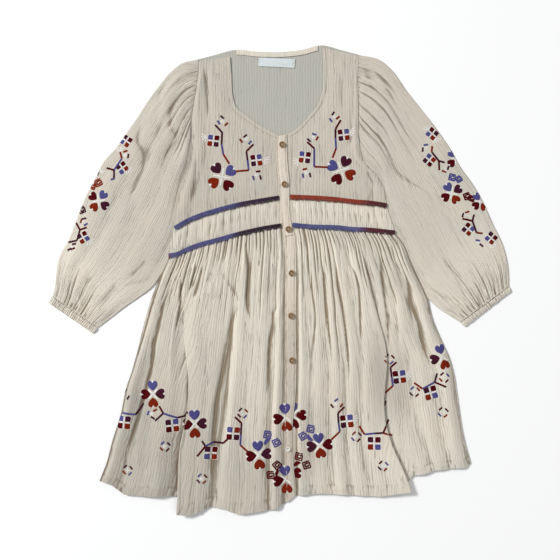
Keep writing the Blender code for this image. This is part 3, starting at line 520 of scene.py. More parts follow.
def fold_rise(folds, t, s):
    """Height of the long folds at each share across, t, and down, s."""
    rise = np.zeros_like(t)
    for row in range(t.shape[0]):
        share = s[row, 0]
        places = np.array([fold.top + (fold.foot - fold.top) * share for fold in folds])
        rises = np.array([fold.rise_top + (fold.rise_foot - fold.rise_top) * share for fold in folds])
        leg = np.clip(np.searchsorted(places, t[row], side="right") - 1, 0, len(folds) - 2)
        blend = smoothstep(0, 1, (t[row] - places[leg]) / (places[leg + 1] - places[leg]))
        rise[row] = rises[leg] * (1 - blend) + rises[leg + 1] * blend
    return rise


def gathers(count, across, sharpness=0.55):
    """Uneven small gathers, from 0 in a narrow trough to 1 on a round crest."""
    drift = 0.22 * np.sin(2 * math.pi * 3.1 * across) + 0.12 * np.sin(2 * math.pi * 7.3 * across + 1)
    return (0.5 + 0.5 * np.cos(2 * math.pi * (count * across + drift))) ** sharpness


def press_creases(plan, creases, crisp=1.0):
    """Height of troughs and ridges, each steeper on one side of its line, and painted shade along each trough.
    """
    height, crease_shade = np.zeros(plan.shape[:2]), np.zeros(plan.shape[:2])
    shares = np.linspace(0, 1, 90)
    ends = smoothstep(0, 0.3, shares) * smoothstep(0, 0.4, 1 - shares)
    for crease in creases:
        line = curve(crease.line, shares)
        long = smoothstep(35, 100, np.linalg.norm(np.diff(line, axis=0), axis=1).sum())
        width = crease.width * (1.25 - 0.7 * long * crisp)
        reach = 6 * width
        near = np.all((plan > line.min(axis=0) - reach) & (plan < line.max(axis=0) + reach), axis=-1)
        off = plan[near][:, None, :] - line
        away = np.linalg.norm(off, axis=-1)
        nearest = away.argmin(axis=1)
        off, along = off[np.arange(len(nearest)), nearest], np.gradient(line, axis=0)[nearest]
        soft_side = along[:, 0] * off[:, 1] - along[:, 1] * off[:, 0] > 0
        closeness = np.exp(-(away.min(axis=1) / np.where(soft_side, 2.8 * width, width)) ** 2)
        height[near] += crease.rise * (0.6 + 0.8 * long) * ends[nearest] * closeness
        core_width = np.where(soft_side, 0.8 + 0.22 * crease.width, 0.9)
        core = np.exp(-(away.min(axis=1) / core_width) ** 2) * np.clip(-crease.rise / 1.5, 0, 1.6)
        crease_shade[near] = np.maximum(crease_shade[near], (0.25 + 0.75 * long) * ends[nearest] * core)
    return height, crisp * crease_shade


def fine_pleats(t, depth, widths, count, longest, seed):
    """Narrow uneven creases that run down from a gathered seam, and painted shade along each one."""
    chance = np.random.default_rng(seed)
    rise, crease_shade = np.zeros_like(t), np.zeros_like(t)
    for number in range(count):
        start = (number + 0.5 + chance.uniform(-0.42, 0.42)) / count
        length = 0.16 * longest + longest * chance.random() ** 2.2
        deep, narrow = chance.uniform(0.5, 2.5), chance.uniform(0.9, 1.45)
        lean = chance.uniform(-0.03, 0.03)
        path = start + lean * depth / 300 + 0.0035 * soft_noise(depth / 28, depth * 0 + number, seed)
        off = (t - path) * widths
        groove = np.exp(-(off / np.where(off > 0, narrow, 1.7 * narrow)) ** 2)
        fade = smoothstep(-1, 4, depth) * (1 - smoothstep(0.3 * length, length, depth))
        rise -= deep * groove * fade
        crease_shade = np.maximum(crease_shade, np.clip(deep / 2.2, 0, 1) * fade * np.exp(-(off / 0.95) ** 2))
    return rise, crease_shade


cotton = gauze("gauze_outside", (0.33, 0.286, 0.23), (0.565, 0.518, 0.442), (0.66, 0.608, 0.525))


def ruled(left, right, across):
    """Plan points of a panel whose rows run straight from its left edge to its right."""
    t = np.asarray(across)[None, :, None]
    return left[:, None] * (1 - t) + right[:, None] * t


def widths_between(left, right):
    """How far apart two edges are, row by row."""
    return np.linalg.norm(right - left, axis=-1)[:, None]


def rounded(near, reach):
    """From 0 at a folded edge to 1 where its rounding ends."""
    return np.sqrt(1 - (1 - np.clip(near / reach, 0, 1)) ** 2)


def flat_tube(name, spread, across, beneath, down, widths, height, rounding, cut, crease_shade=0.0, **looks):
    """A flattened tube of cloth: shaped on top, nearly level beneath, and round at both folded edges."""
    height = EDGE_MID + (height - EDGE_MID) * rounded(np.minimum(across, 1 - across) * widths, rounding)
    low = EDGE_MID - (EDGE_MID - UNDERSIDE) * rounded(np.minimum(beneath, 1 - beneath) * widths, rounding)
    rings = np.concatenate((level(spread(across), height), level(spread(beneath), low)), axis=1)
    crease_shade = np.concatenate((np.broadcast_to(crease_shade, height.shape), np.zeros_like(low)), axis=1)
    columns = np.concatenate((across, 2 - beneath, [2])) * cut[0]
    grain = np.stack(np.broadcast_arrays(columns[None], (down * cut[1])[:, None]), axis=-1)
    if rings[0, 0, 0] > 0:
        rings, crease_shade = [np.concatenate((ring[:, :1], ring[:, :0:-1]), axis=1) for ring in (rings, crease_shade)]
        grain = grain[:, ::-1]
    return cloth_sheet(name, rings, grain, thickness=THIN_GAUZE, offset=-1, crease=crease_shade, **looks)


def sleeve_cloth(name, outer_edge, inner_edge, armhole, free_from, folds, creases, calm, head_shade, seed):
    """A full sleeve: gathered at its head and foot, with long folds and creases between them."""
    down = np.concatenate((np.linspace(0, 0.12, 24), np.linspace(0.12, 0.82, 100)[1:],
                           np.linspace(0.82, 1, 36)[1:]))
    across = np.concatenate(([0, 0.004, 0.010, 0.018], np.linspace(0.028, 0.972, 104),
                             [0.982, 0.990, 0.996, 1]))
    beneath = np.array((0.996, 0.990, 0.98, *np.linspace(0.965, 0.035, 34), 0.02, 0.010, 0.004))
    outer_line, inner_line = curve(outer_edge, down), curve(inner_edge, down)
    widths = widths_between(outer_line, inner_line)

    def spread(shares):
        fade = ((1 - down) ** 6)[:, None, None]
        chord = ruled(outer_line, inner_line, shares)
        return chord + fade * (curve(armhole, shares)[None] - chord[:1])

    plan = spread(across)
    t, s = np.meshgrid(across, down)
    along = s * SLEEVE_CUT[1]
    from_outer, from_inner = t * widths, (1 - t) * widths
    free = smoothstep(free_from, free_from + 0.12, s)
    puff = smoothstep(0, 22, from_outer) * np.maximum(smoothstep(14, 34, from_inner),
                                                      free * smoothstep(0, 14, from_inner))
    ends = smoothstep(0, 0.12, s) * (0.3 + 0.7 * smoothstep(0, 0.12, 1 - s))
    head = 1.3 * gathers(HEAD_GATHERS, t) * smoothstep(0, 0.03, s) * (1 - smoothstep(0.1, 0.3, s))
    pleated, fine = fine_pleats(t, SLEEVE_CUT[1] - along, widths, 17, 95, seed + 30)
    foot = 0.45 * gathers(CUFF_GATHERS, t) * smoothstep(0.84, 0.98, s)
    foot += 0.5 * (1.2 + pleated) * smoothstep(0.7, 0.8, s)
    creased, crease_shade = press_creases(plan, creases, crisp=0.3)
    rise = calm * (fold_rise(folds, t, s) * ends + creased) + head + foot
    rise += CRINKLE * crinkle(t * SLEEVE_CUT[0], along, seed) * smoothstep(0, 0.05, s)
    height = TUCKED_TOP + puff * (0.9 * smoothstep(0, 0.12, s) + rise)
    gather = 0.22 + 0.5 * smoothstep(0.8, 0.97, down) + 0.3 * (1 - smoothstep(0, 0.2, down))
    # Painted shade towards the sleeve head, giving way to painted light towards the foot
    wash = head_shade + (FOOT_PAINTED_LIGHT - head_shade) * smoothstep(0.55, 0.98, down)
    return flat_tube(name, spread, across, beneath, down, widths, np.maximum(height, TUCKED_TOP),
                     SLEEVE_ROUNDING, SLEEVE_CUT, np.maximum(crease_shade, 0.62 * fine),
                     gather=gather[:, None], wash=wash[:, None])


sleeve_left = sleeve_cloth("sleeve_left_cloth", SLEEVE_LEFT_OUTER, SLEEVE_LEFT_INNER, ARMSEAM_LEFT, 0.67,
                           FOLDS_SLEEVE_LEFT, CREASES_SLEEVE_LEFT, 0.7, 0.87, 11)
sleeve_right = sleeve_cloth("sleeve_right_cloth", SLEEVE_RIGHT_OUTER, SLEEVE_RIGHT_INNER, ARMSEAM_RIGHT, 0.81,
                            FOLDS_SLEEVE_RIGHT, CREASES_SLEEVE_RIGHT, 0.32, 0.91, 12)
for sleeve, node in ((sleeve_left, "sleeve_left"), (sleeve_right, "sleeve_right")):
    dress_piece(sleeve, cotton, [node])

# CUFFS
# Narrow bands of gauze gathered over elastic, each sewn to the end of its sleeve and open for
# the hand.

CUFF_LEFT = ((-386.4, -28), (-309.2, -81.7), (-393.3, -38.5), (-317, -91))
CUFF_CUT = (180, 14)
CUFF_ROUNDING = 2.4
CUFF_RIGHT = ((389.1, -10.7), (305.9, -72.2), (393.3, -18), (314, -79.5))


def cuff_cloth(name, corners, seed):
    """A short flattened tube with close, even gathers round the wrist."""
    top_outer, top_inner, foot_outer, foot_inner = np.array(corners, float)
    down = np.linspace(0, 1, 13)
    across = np.concatenate(([0, 0.01, 0.025], np.linspace(0.045, 0.955, 110), [0.975, 0.99, 1]))
    beneath = np.concatenate(([0.99, 0.975], np.linspace(0.95, 0.05, 26), [0.025, 0.01]))
    outer, inner = straight(top_outer, foot_outer, down), straight(top_inner, foot_inner, down)
    t, s = np.meshgrid(across, down)
    crests = gathers(2 * CUFF_GATHERS, t + 0.01 * soft_noise(s * 3, t * 9, seed), 0.7)
    height = 2.6 + 1.3 * crests * (0.55 + 0.45 * np.sin(math.pi * s)) + 0.4 * soft_noise(t * 30, s * 2, seed)
    height += 0.5 * np.sin(math.pi * s)
    widths = np.full((len(down), 1), np.linalg.norm(top_inner - top_outer))
    # The whole cuff is painted lighter, as painted light, like the foot of its sleeve
    return flat_tube(name, lambda shares: ruled(outer, inner, shares), across, beneath, down, widths, height,
                     CUFF_ROUNDING, CUFF_CUT, gather=0.6, wash=FOOT_PAINTED_LIGHT)


cuff_left = cuff_cloth("cuff_left_cloth", CUFF_LEFT, 21)
cuff_right = cuff_cloth("cuff_right_cloth", CUFF_RIGHT, 22)
for cuff, node in ((cuff_left, "cuff_left"), (cuff_right, "cuff_right")):
    dress_piece(cuff, cotton, [node])

# FRONT BODICE
# Two fronts of double gauze from the shoulders to the waist, smooth but crinkled, with a deep
# scooped neck. The neck edge is turned under and stitched.

LAYER_GAP = 0.3
CLOTH = 1.2
FRONT_MID = CLOTH + LAYER_GAP + CLOTH / 2
TUCK_LIFT = 1.35
SIDE_LEFT = (
    (-148, 222), (-157, 183), (-163, 165), (-171, 144), (-176, 119), (-179, 89),
    (-184, 69), (-189, 42), (-206, 0), (-218, -31), (-232, -79), (-242, -121),
    (-252, -157), (-261, -184), (-269, -223), (-287, -283), (-292, -303), (-306, -341),
)
SIDE_RIGHT = (
    (135, 222), (140, 205), (164, 178), (174, 161), (179, 137), (182, 122), (191, 93),
    (195, 81), (209, 61), (221, 32), (238, -5), (249, -30), (259, -67),
    (274, -103), (286, -129), (295, -160), (300, -193), (311, -264), (323, -311),
)
TUCK_LEFT = (SIDE_LEFT, -5, 222)
TUCK_RIGHT = (SIDE_RIGHT, -30, 224)
NECK_LEFT = (
    (-84.3, 379), (-82.5, 349), (-80, 312), (-75, 295), (-54, 277), (-34, 262.5),
    (-21, 255), (-4, 247), (6, 245.5),
)
NECK_RIGHT = ((71.5, 394), (73, 358), (70.5, 317), (63.5, 298), (44, 274), (25, 255), (6, 245.5))
SHOULDER_LEFT = ((-138.5, 371), (-111, 375.5), (-84.3, 379))
SHOULDER_RIGHT = ((71.5, 394), (102, 387.5), (132, 380))
UPPER_LEFT = ((-179, 88), (-155, 102), (-130, 112), (-105, 119.5), (-76.5, 127), (-34, 135), (11, 142))
UPPER_RIGHT = ((11, 142), (51, 140.5), (95, 137.5), (125, 133.8), (153, 131.5), (181, 127))
OPENING = (
    (6, 245.5), (5, 205), (8, 165), (11, 142), (11, 120), (14, 95), (17.5, 60), (18.5, 0),
    (18.5, -70), (18.5, -150), (15, -240), (17, -330), (18.5, -371),
)
FOLDS_BODICE_LEFT = rows(
    Fold,
    (0, 0, 0, 0), (0.1, 0.08, 1.6, 2), (0.17, 0.3, 0.4, 1), (0.4, 0.45, 1.4, 2.2), (0.75, 0.75, 0.9, 1.6),
    (0.9, 0.9, 0.3, 0.2), (1, 1, 0, 0),
)
FOLDS_BODICE_RIGHT = rows(
    Fold,
    (0, 0, 0, 0), (0.1, 0.12, 0, 0), (0.35, 0.35, 1, 2), (0.6, 0.62, 1.6, 1.4), (0.78, 0.8, 1, 2.4),
    (0.88, 0.89, 0.6, 0.5), (0.94, 0.95, 1, 1.8), (1, 1, 0, 0),
)
CREASES_BODICE_LEFT = rows(
    Crease,
    (6, -1.3, ((-128, 366), (-125, 320), (-124, 280), (-126, 262))),
    (3, -0.8, ((-106, 355), (-106, 344), (-105, 334))),
    (5, -0.9, ((-143, 222), (-146, 171), (-153, 120))),
)
CREASES_BODICE_RIGHT = rows(
    Crease,
    (3.4, -1.1, ((143, 201), (153, 174), (164, 153))),
    (3, -1, ((158, 177), (167, 164), (175, 153))),
    (6, -0.9, ((105, 358), (104, 307), (107, 276))),
)
BODICE_CORNER = 0.55
NECK_INSET = 6.0
PLACKET_MIDDLE_BODICE = 8
CLEAR_OF_BODICE_PLACKET = (14, 24)
TUCK_REACH = (12, 24)


def moved(line, dx=0.0, dy=0.0):
    """The same line of plan points, moved."""
    return np.asarray(line, float) + (dx, dy)


def distance_to(plan, line):
    """How far each plan point is from a smooth line."""
    dense = curve(line, np.linspace(0, 1, 120))
    return np.min(np.linalg.norm(plan[..., None, :] - dense, axis=-1), axis=-1)


def tuck_lift(plan, side, low, high):
    """Lift of the front along the side where the sleeve is tucked beneath it."""
    near = 1 - smoothstep(*TUCK_REACH, distance_to(plan, side))
    height = plan[..., 1]
    band = smoothstep(low - 25, low, height) * (1 - smoothstep(high, high + 35, height))
    return TUCK_LIFT * near * band


def turned_edge(plan, line):
    """A turned and stitched edge: two layers thick, with a groove where the stitches pull."""
    away = distance_to(plan, line)
    groove = np.exp(-((away - NECK_INSET) / 1.1) ** 2)
    return 0.35 * (1 - smoothstep(NECK_INSET - 1, NECK_INSET + 1, away)) - 0.35 * groove


def bodice_cloth(name, top, foot, left, right, neck, folds, creases, tuck, wash, seed):
    """Smooth front bodice from the shoulder and neck down to the upper waist seam."""
    down = np.concatenate((np.linspace(0, BODICE_CORNER, 76), np.linspace(BODICE_CORNER, 1, 56)[1:]))
    across = np.linspace(0, 1, 104)
    foot_line = moved(curve(foot, across), dy=SEAM_GAP)
    plan = patch(curve(top, across), foot_line, left(down), right(down), across, down)
    t, s = np.meshgrid(across, down)
    ease = smoothstep(0, 0.15, s) * smoothstep(0.025, 0.12, 1 - s)
    clear = smoothstep(*CLEAR_OF_BODICE_PLACKET, np.abs(plan[..., 0] - PLACKET_MIDDLE_BODICE))
    under = smoothstep(10, 13, np.abs(plan[..., 0] - PLACKET_MIDDLE_BODICE))
    creased, crease_shade = press_creases(plan, creases)
    rise = 0.8 * fold_rise(folds, t, s) * ease * clear + creased
    edges = smoothstep(0, 5, distance_to(plan, foot)) * np.maximum(under, plan[..., 1] > 250)
    rise += CRINKLE * crinkle(plan[..., 0], -plan[..., 1], seed) * (0.25 + 0.75 * edges)
    rise += turned_edge(plan, neck) * under
    height = FRONT_MID + rise + tuck_lift(plan, *tuck)
    return cloth_sheet(name, level(plan, height), plan, gather=0.3, wash=wash, crease=0.7 * crease_shade)


half_gap = SEAM_GAP / 2
bodice_opening = upper_part(OPENING, UPPER_LEFT[-1][1])
bodice_left = bodice_cloth(
    "front_bodice_left_cloth", SHOULDER_LEFT, UPPER_LEFT,
    lambda down: in_two(ARMHOLE_LEFT, upper_part(SIDE_LEFT, UPPER_LEFT[0][1]), BODICE_CORNER, down),
    lambda down: moved(in_two(NECK_LEFT, bodice_opening, BODICE_CORNER, down), dx=-half_gap),
    NECK_LEFT, FOLDS_BODICE_LEFT, CREASES_BODICE_LEFT, TUCK_LEFT, 0.80, 31)
bodice_right = bodice_cloth(
    "front_bodice_right_cloth", SHOULDER_RIGHT, UPPER_RIGHT,
    lambda down: moved(in_two(NECK_RIGHT, bodice_opening, BODICE_CORNER, down), dx=half_gap),
    lambda down: in_two(ARMHOLE_RIGHT, upper_part(SIDE_RIGHT, UPPER_RIGHT[-1][1]), BODICE_CORNER, down),
    NECK_RIGHT, FOLDS_BODICE_RIGHT, CREASES_BODICE_RIGHT, TUCK_RIGHT, 0.83, 32)
for bodice, node in ((bodice_left, "front_bodice_left"), (bodice_right, "front_bodice_right")):
    dress_piece(bodice, cotton, [node])

# FRONT WAISTBAND
# A narrow band between the two waist seams, gathered softly across each half.

LOWER_LEFT = ((-189, 42), (-178, 43.5), (-154, 54), (-138, 60), (-108, 68), (-76.5, 77), (-34, 87), (14, 95))
LOWER_RIGHT = ((14, 95), (51, 91.3), (102, 89.4), (122, 87), (147, 86), (195, 81))
FOLDS_WAIST = rows(
    Fold,
    (0, 0, 0, 0), (0.1, 0.1, 0.8, 0.8), (0.5, 0.5, 0.9, 0.9), (0.85, 0.85, 0.6, 0.6), (0.92, 0.92, 0, 0),
    (1, 1, 0, 0),
)
WAIST_GATHERS = 16
CLEAR_OF_BAND_PLACKET = (14, 22)


def waistband_cloth(name, top, foot, left, right, tuck, depth, wash, seed):
    """Narrow band whose gathers die away at both seams and at the placket."""
    across = np.linspace(0, 1, 150)
    down = np.linspace(0, 1, 30)
    top_line = moved(curve(top, across), dy=-half_gap)
    foot_line = moved(curve(foot, across), dy=half_gap)
    left_line = at_heights(left, edge_heights(top_line[0, 1], foot_line[0, 1], down))
    right_line = at_heights(right, edge_heights(top_line[-1, 1], foot_line[-1, 1], down))
    plan = patch(top_line, foot_line, left_line, right_line, across, down)
    t, s = np.meshgrid(across, down)
    middle = smoothstep(0.04, 0.4, np.minimum(s, 1 - s))
    clear = smoothstep(*CLEAR_OF_BAND_PLACKET, np.abs(plan[..., 0] - PLACKET_MIDDLE_BODICE))
    edge = smoothstep(0, 0.06, np.minimum(across, 1 - across))
    small = depth * edge * gathers(WAIST_GATHERS, t + 0.012 * soft_noise(s * 2, t * 8, seed))
    uneven = 0.75 + 0.45 * soft_noise(t * 9, s * 0, seed)
    rise = (fold_rise(FOLDS_WAIST, t, s) + small * uneven) * middle * clear
    rise += 0.9 * crinkle(plan[..., 0] * 1.3, -plan[..., 1], seed) * (0.3 + 0.7 * middle) * (0.3 + 0.7 * clear)
    height = FRONT_MID + rise + tuck_lift(plan, *tuck)
    return cloth_sheet(name, level(plan, height), plan * (1.3, 1), gather=0.55, wash=wash)


opening_left = moved(OPENING, dx=-half_gap)
opening_right = moved(OPENING, dx=half_gap)
waistband_left = waistband_cloth("front_waistband_left_cloth", UPPER_LEFT, LOWER_LEFT, SIDE_LEFT, opening_left,
                                 TUCK_LEFT, 1.3, 1.0, 41)
waistband_right = waistband_cloth("front_waistband_right_cloth", UPPER_RIGHT, LOWER_RIGHT, opening_right,
                                  SIDE_RIGHT, TUCK_RIGHT, 0.8, 1.07, 42)
for band, node in ((waistband_left, "front_waistband_left"), (waistband_right, "front_waistband_right")):
    dress_piece(band, cotton, [node])

# FRONT SKIRT
# Two wide panels gathered into the waistband, with a deep hem. Laid out, their gathers run into
# long folds, and one fold on each half laps over itself down to the hem.

Hem = namedtuple("Hem", "across y")
HEM_LEFT = rows(
    Hem,
    (0, -341), (0.06, -346), (0.085, -353), (0.13, -363.5), (0.25, -365), (0.395, -366), (0.422, -395),
    (0.46, -398), (0.51, -393.6), (0.58, -384), (0.64, -385), (0.69, -392), (0.735, -396), (0.83, -392),
    (0.91, -388), (0.965, -379), (1, -371),
)
HEM_RIGHT = rows(
    Hem,
    (0, -371), (0.02, -366), (0.16, -361), (0.24, -362.5), (0.49, -366), (0.57, -362.5), (0.65, -357),
    (0.675, -347), (0.69, -331), (0.73, -329), (0.81, -322), (0.89, -319), (0.97, -317.5), (1, -311),
)
FOLDS_SKIRT_LEFT = rows(
    Fold,
    (0, 0, 0, 0), (0.03, 0.035, 1.6, 3.6), (0.075, 0.095, 0.3, 0.4), (0.12, 0.17, 1.5, 3.2),
    (0.17, 0.29, 2.8, 7.5), (0.225, 0.39, 0.3, 0.4), (0.25, 0.42, 2.2, 8.4), (0.4, 0.5, 1.6, 4.6),
    (0.61, 0.575, 0.3, 0.4), (0.66, 0.655, 2.8, 7), (0.72, 0.76, 0.8, 4.4), (0.8, 0.83, 2.2, 3.6),
    (0.895, 0.88, 0.4, 0.8), (0.93, 0.92, 1.8, 4.6), (0.955, 0.965, 0, 0), (1, 1, 0, 0),
)
FOLDS_SKIRT_RIGHT = rows(
    Fold,
    (0, 0, 0, 0), (0.055, 0.035, 0, 0), (0.09, 0.06, 1.8, 3.2), (0.135, 0.115, 0.4, 1.9),
    (0.19, 0.17, 2.2, 3.7), (0.245, 0.225, 0.3, 2), (0.3, 0.285, 2.2, 4.4), (0.355, 0.335, 0.3, 2.2),
    (0.405, 0.4, 2.2, 4), (0.47, 0.45, 0.3, 2.6), (0.53, 0.54, 2.2, 4.6), (0.59, 0.648, 1.8, 8),
    (0.61, 0.68, 0.3, 0.4), (0.66, 0.74, 2, 3.2), (0.71, 0.79, 0.4, 1.6), (0.79, 0.83, 2.6, 3.4),
    (0.875, 0.885, 0.3, 1.4), (0.94, 0.94, 2.2, 3.4), (1, 1, 0, 0),
)
CREASES_SKIRT_LEFT = rows(
    Crease,
    (4, -1.9, ((-191, 31), (-211, -23), (-231, -93), (-248, -147))),
    (5, -2.5, ((-181, 25), (-187, -16), (-197, -40), (-207, -79), (-214, -106), (-218, -140), (-238, -220),
     (-269, -319))),
    (4.5, 1.2, ((-164, 35), (-174, -40), (-181, -93), (-186, -140), (-180, -203))),
    (2.4, -1.6, ((-167, 28), (-171, -40), (-181, -106))),
    (6, -2, ((-164, -40), (-159, -106), (-161, -173), (-166, -217))),
    (2.4, -1.6, ((-151, 28), (-150, 4), (-147, -20))),
    (2.6, -1.9, ((-142, 35), (-146, 1), (-151, -30))),
    (2.8, -2, ((-129, 31), (-141, -16), (-148, -40))),
    (2.4, -1.3, ((-117, 18), (-122, 4), (-128, -9))),
    (5, -0.35, ((-100, 31), (-99, 14), (-86, -9), (-72, -30), (-66, -62))),
    (9, -3.1, ((-75, -13), (-70, -26), (-80, -65), (-87, -106), (-94, -140), (-100, -173), (-107, -207),
     (-110, -241), (-116, -322), (-118, -383))),
    (6, 1.4, ((-67, -16), (-74, -54), (-80, -106), (-84, -173), (-84, -220), (-87, -290), (-94, -341))),
    (4.2, -2.4, ((-60, 74), (-55, 28), (-54, -55), (-47, -76))),
    (5.5, -2.1, ((-17, -40), (-12, -65), (-17, -106), (-20, -159), (-24, -207))),
    (5, 1.2, ((-5, 4), (2, -40), (-7, -59), (-12, -93), (-14, -207))),
)
CREASES_SKIRT_RIGHT = rows(
    Crease,
    (3.4, -1.3, ((52, 40), (55, -25), (59, -55), (57, -99), (52, -139))),
    (3.2, -1.4, ((74, 55), (76, -8), (81, -72), (86, -120), (88, -161))),
    (4.2, -2, ((95, 45), (97, -3), (106, -50), (111, -88), (116, -150), (117, -183))),
    (3.4, -1.4, ((114, 37), (130, 1), (135, -50), (136, -88), (139, -120))),
    (4, -1.8, ((139, 55), (152, -3), (162, -50), (168, -94), (170, -122))),
    (4, -1.5, ((168, 52), (173, -3), (178, -37), (182, -62), (187, -103), (193, -132))),
    (6.5, -2, ((203, 30), (216, -3), (222, -40), (235, -74), (240, -103), (251, -139), (257, -161))),
    (3, -1, ((209, -18), (219, -50), (231, -84))),
    (8, 1.4, ((196, -16), (202, -59), (207, -101), (216, -139))),
    (5, 1, ((29, 31), (32, -16), (34, -84), (31, -169))),
)
SKIRT_GATHERS = 23
SKIRT_DEPTH = 462
SKIRT_CUT_WIDE = 330
PLACKET_MIDDLE_SKIRT = 18
CLEAR_OF_SKIRT_PLACKET = (11, 17)
SKIRT_FOLDS_START = 5.5
SKIRT_FOLDS_FULL = 55
HEM_ALLOWANCE = 14

# Painted shade and painted light on the skirt, where it is greyer or paler than around it: the
# middle, the reach each way and how much, below 0 for paler
Shade = namedtuple("Shade", "x y wide high depth")
SHADES = rows(
    Shade,
    (-30, -345, 75, 85, 0.24), (-110, -320, 40, 90, 0.1), (166, -160, 17, 95, 0.3),
    (-226, -150, 40, 60, 0.14), (-130, -150, 14, 90, 0.1), (80, 45, 70, 50, -0.09), (-190, -72, 24, 60, 0.2),
    (-98, -160, 18, 85, 0.12), (196, -180, 26, 65, 0.24), (-238, -222, 20, 50, 0.12),
    (50, -282, 20, 60, 0.22), (85, -205, 65, 70, 0.1),
)
# A fold that laps over itself: shares across at the waist and foot, share down where it starts,
# and how far it reaches
Lap = namedtuple("Lap", "top foot start reach")
LAP_LEFT = Lap(0.236, 0.418, 0.08, 9.0)
LAP_RIGHT = Lap(0.60, 0.664, 0.24, 9.0)
# Where a fold leaves its straight line: how far, the shares across and down, and the reach down
Bend = namedtuple("Bend", "far across down reach")
BEND_LEFT = Bend(-0.055, 0.43, 0.60, 0.17)
BEND_RIGHT = Bend(0.10, 0.57, 0.72, 0.20)


def skirt_plan(top, hem, left, right, across, down):
    """Plan of a skirt half, whose columns keep their share of the width from waist to hem."""
    s = down[:, None, None]
    chord_top = (1 - across[:, None]) * top[0] + across[:, None] * top[-1]
    hem_y = np.interp(across, [row.across for row in hem], [row.y for row in hem])
    chord_y = (1 - across) * left[-1, 1] + across * right[-1, 1]
    drop = np.stack((np.zeros_like(across), hem_y - chord_y), axis=-1)
    return ruled(left, right, across) + (1 - s) ** 2 * (top - chord_top)[None] + s**4 * drop[None]


def lap_over(plan, t, s, lap):
    """Push the cloth on either side of a line past each other, so that it folds over itself."""
    edge = lap.top + (lap.foot - lap.top) * s
    away = (t - edge) * widths_between(plan[:, 0], plan[:, -1]) / 6.0
    amount = lap.reach * smoothstep(lap.start, lap.start + 0.22, s)
    shift = -amount * away * np.exp(0.5 - 0.5 * away**2)
    return np.stack((plan[..., 0] + shift, plan[..., 1]), axis=-1)


def skirt_cloth(name, top, hem, left, right, folds, creases, lap, bend, tuck, seed):
    """Gathered skirt front: small gathers at the waist that run into long folds."""
    below = np.concatenate((np.linspace(0, 70, 36), np.linspace(70, 425, 88)[1:],
                            np.linspace(425, SKIRT_DEPTH, 18)[1:]))
    down = below / SKIRT_DEPTH
    fine = np.concatenate([np.linspace(share - 0.03, share + 0.03, 22) for share in (lap.top, lap.foot)])
    across = np.unique(np.concatenate((np.linspace(0, 1, 270), fine)))
    top_line = curve(top, across)
    left_line = at_heights(left, edge_heights(top_line[0, 1], hem[0].y, down))
    right_line = at_heights(right, edge_heights(top_line[-1, 1], hem[-1].y, down))
    plan = skirt_plan(top_line, hem, left_line, right_line, across, down)
    t, s = np.meshgrid(across, down)
    depth = s * SKIRT_DEPTH
    edge = smoothstep(0, 0.04, np.minimum(across, 1 - across))
    clear = smoothstep(*CLEAR_OF_SKIRT_PLACKET, np.abs(plan[..., 0] - PLACKET_MIDDLE_SKIRT))
    near_waist = smoothstep(0, 6, depth) * (1 - smoothstep(45, 270, depth))
    uneven = 1.0 + 0.6 * soft_noise(t * 13, s * 1.2, seed)
    swing = t + 0.010 * soft_noise(t * 7, s * 5, seed + 4)
    widths = widths_between(plan[:, 0], plan[:, -1])
    small = 0.5 * uneven * near_waist * edge * clear * gathers(SKIRT_GATHERS, swing, 0.7)
    pleated, crease_shade = fine_pleats(t, depth, widths, 36, 300, seed + 20)
    small += 0.85 * (1.5 + pleated) * edge * clear * smoothstep(0, 4, depth)
    bent = t + bend.far * np.exp(-((s - bend.down) / bend.reach) ** 2 - ((t - bend.across) / 0.17) ** 2)
    rise = fold_rise(folds, bent, s) * smoothstep(SKIRT_FOLDS_START, SKIRT_FOLDS_FULL, depth) + small
    creased, sharp = press_creases(plan, creases)
    rise += creased * clear
    puckers = crinkle(t * SKIRT_CUT_WIDE, depth, seed)
    low = smoothstep(60, 290, -plan[..., 1])
    rise += CRINKLE * puckers * (0.2 + 0.8 * smoothstep(0, 14, depth)) * (0.35 + 0.65 * clear) * (1 - 0.3 * low)
    from_hem = SKIRT_DEPTH - depth
    rise += 0.2 * (1 - smoothstep(HEM_ALLOWANCE - 1, HEM_ALLOWANCE + 1, from_hem))
    rise -= 0.35 * np.exp(-((from_hem - HEM_ALLOWANCE) / 1.3) ** 2)
    rise += 0.4 * soft_noise(t * 120, depth / 9, seed + 5) * (1 - smoothstep(10, 18, from_hem))
    height = np.maximum(FRONT_MID + rise, FRONT_MID - 0.3) + tuck_lift(plan, *tuck)
    plan = lap_over(plan, bent, s, lap)
    grain = np.stack((t * SKIRT_CUT_WIDE, depth), axis=-1)
    gather = (0.38 + 0.58 * (1 - smoothstep(20, 210, depth))) * (0.2 + 0.8 * clear)
    # The cloth is made darker towards the lower left, takes the painted shade and painted light of SHADES, and
    # is a little darker over the turned-up hem allowance
    shaded = 0.31 * smoothstep(60, 210, -plan[..., 0]) * low
    for shade in SHADES:
        shaded += shade.depth * np.exp(-(((plan - shade[:2]) / shade[2:4]) ** 2).sum(axis=-1))
    shaded += 0.07 * (1 - smoothstep(HEM_ALLOWANCE - 2, HEM_ALLOWANCE + 1, from_hem))
    return cloth_sheet(name, level(plan, height), grain, gather=gather, wash=1.05 - shaded,
                       crease=np.maximum(crease_shade, sharp) * clear)


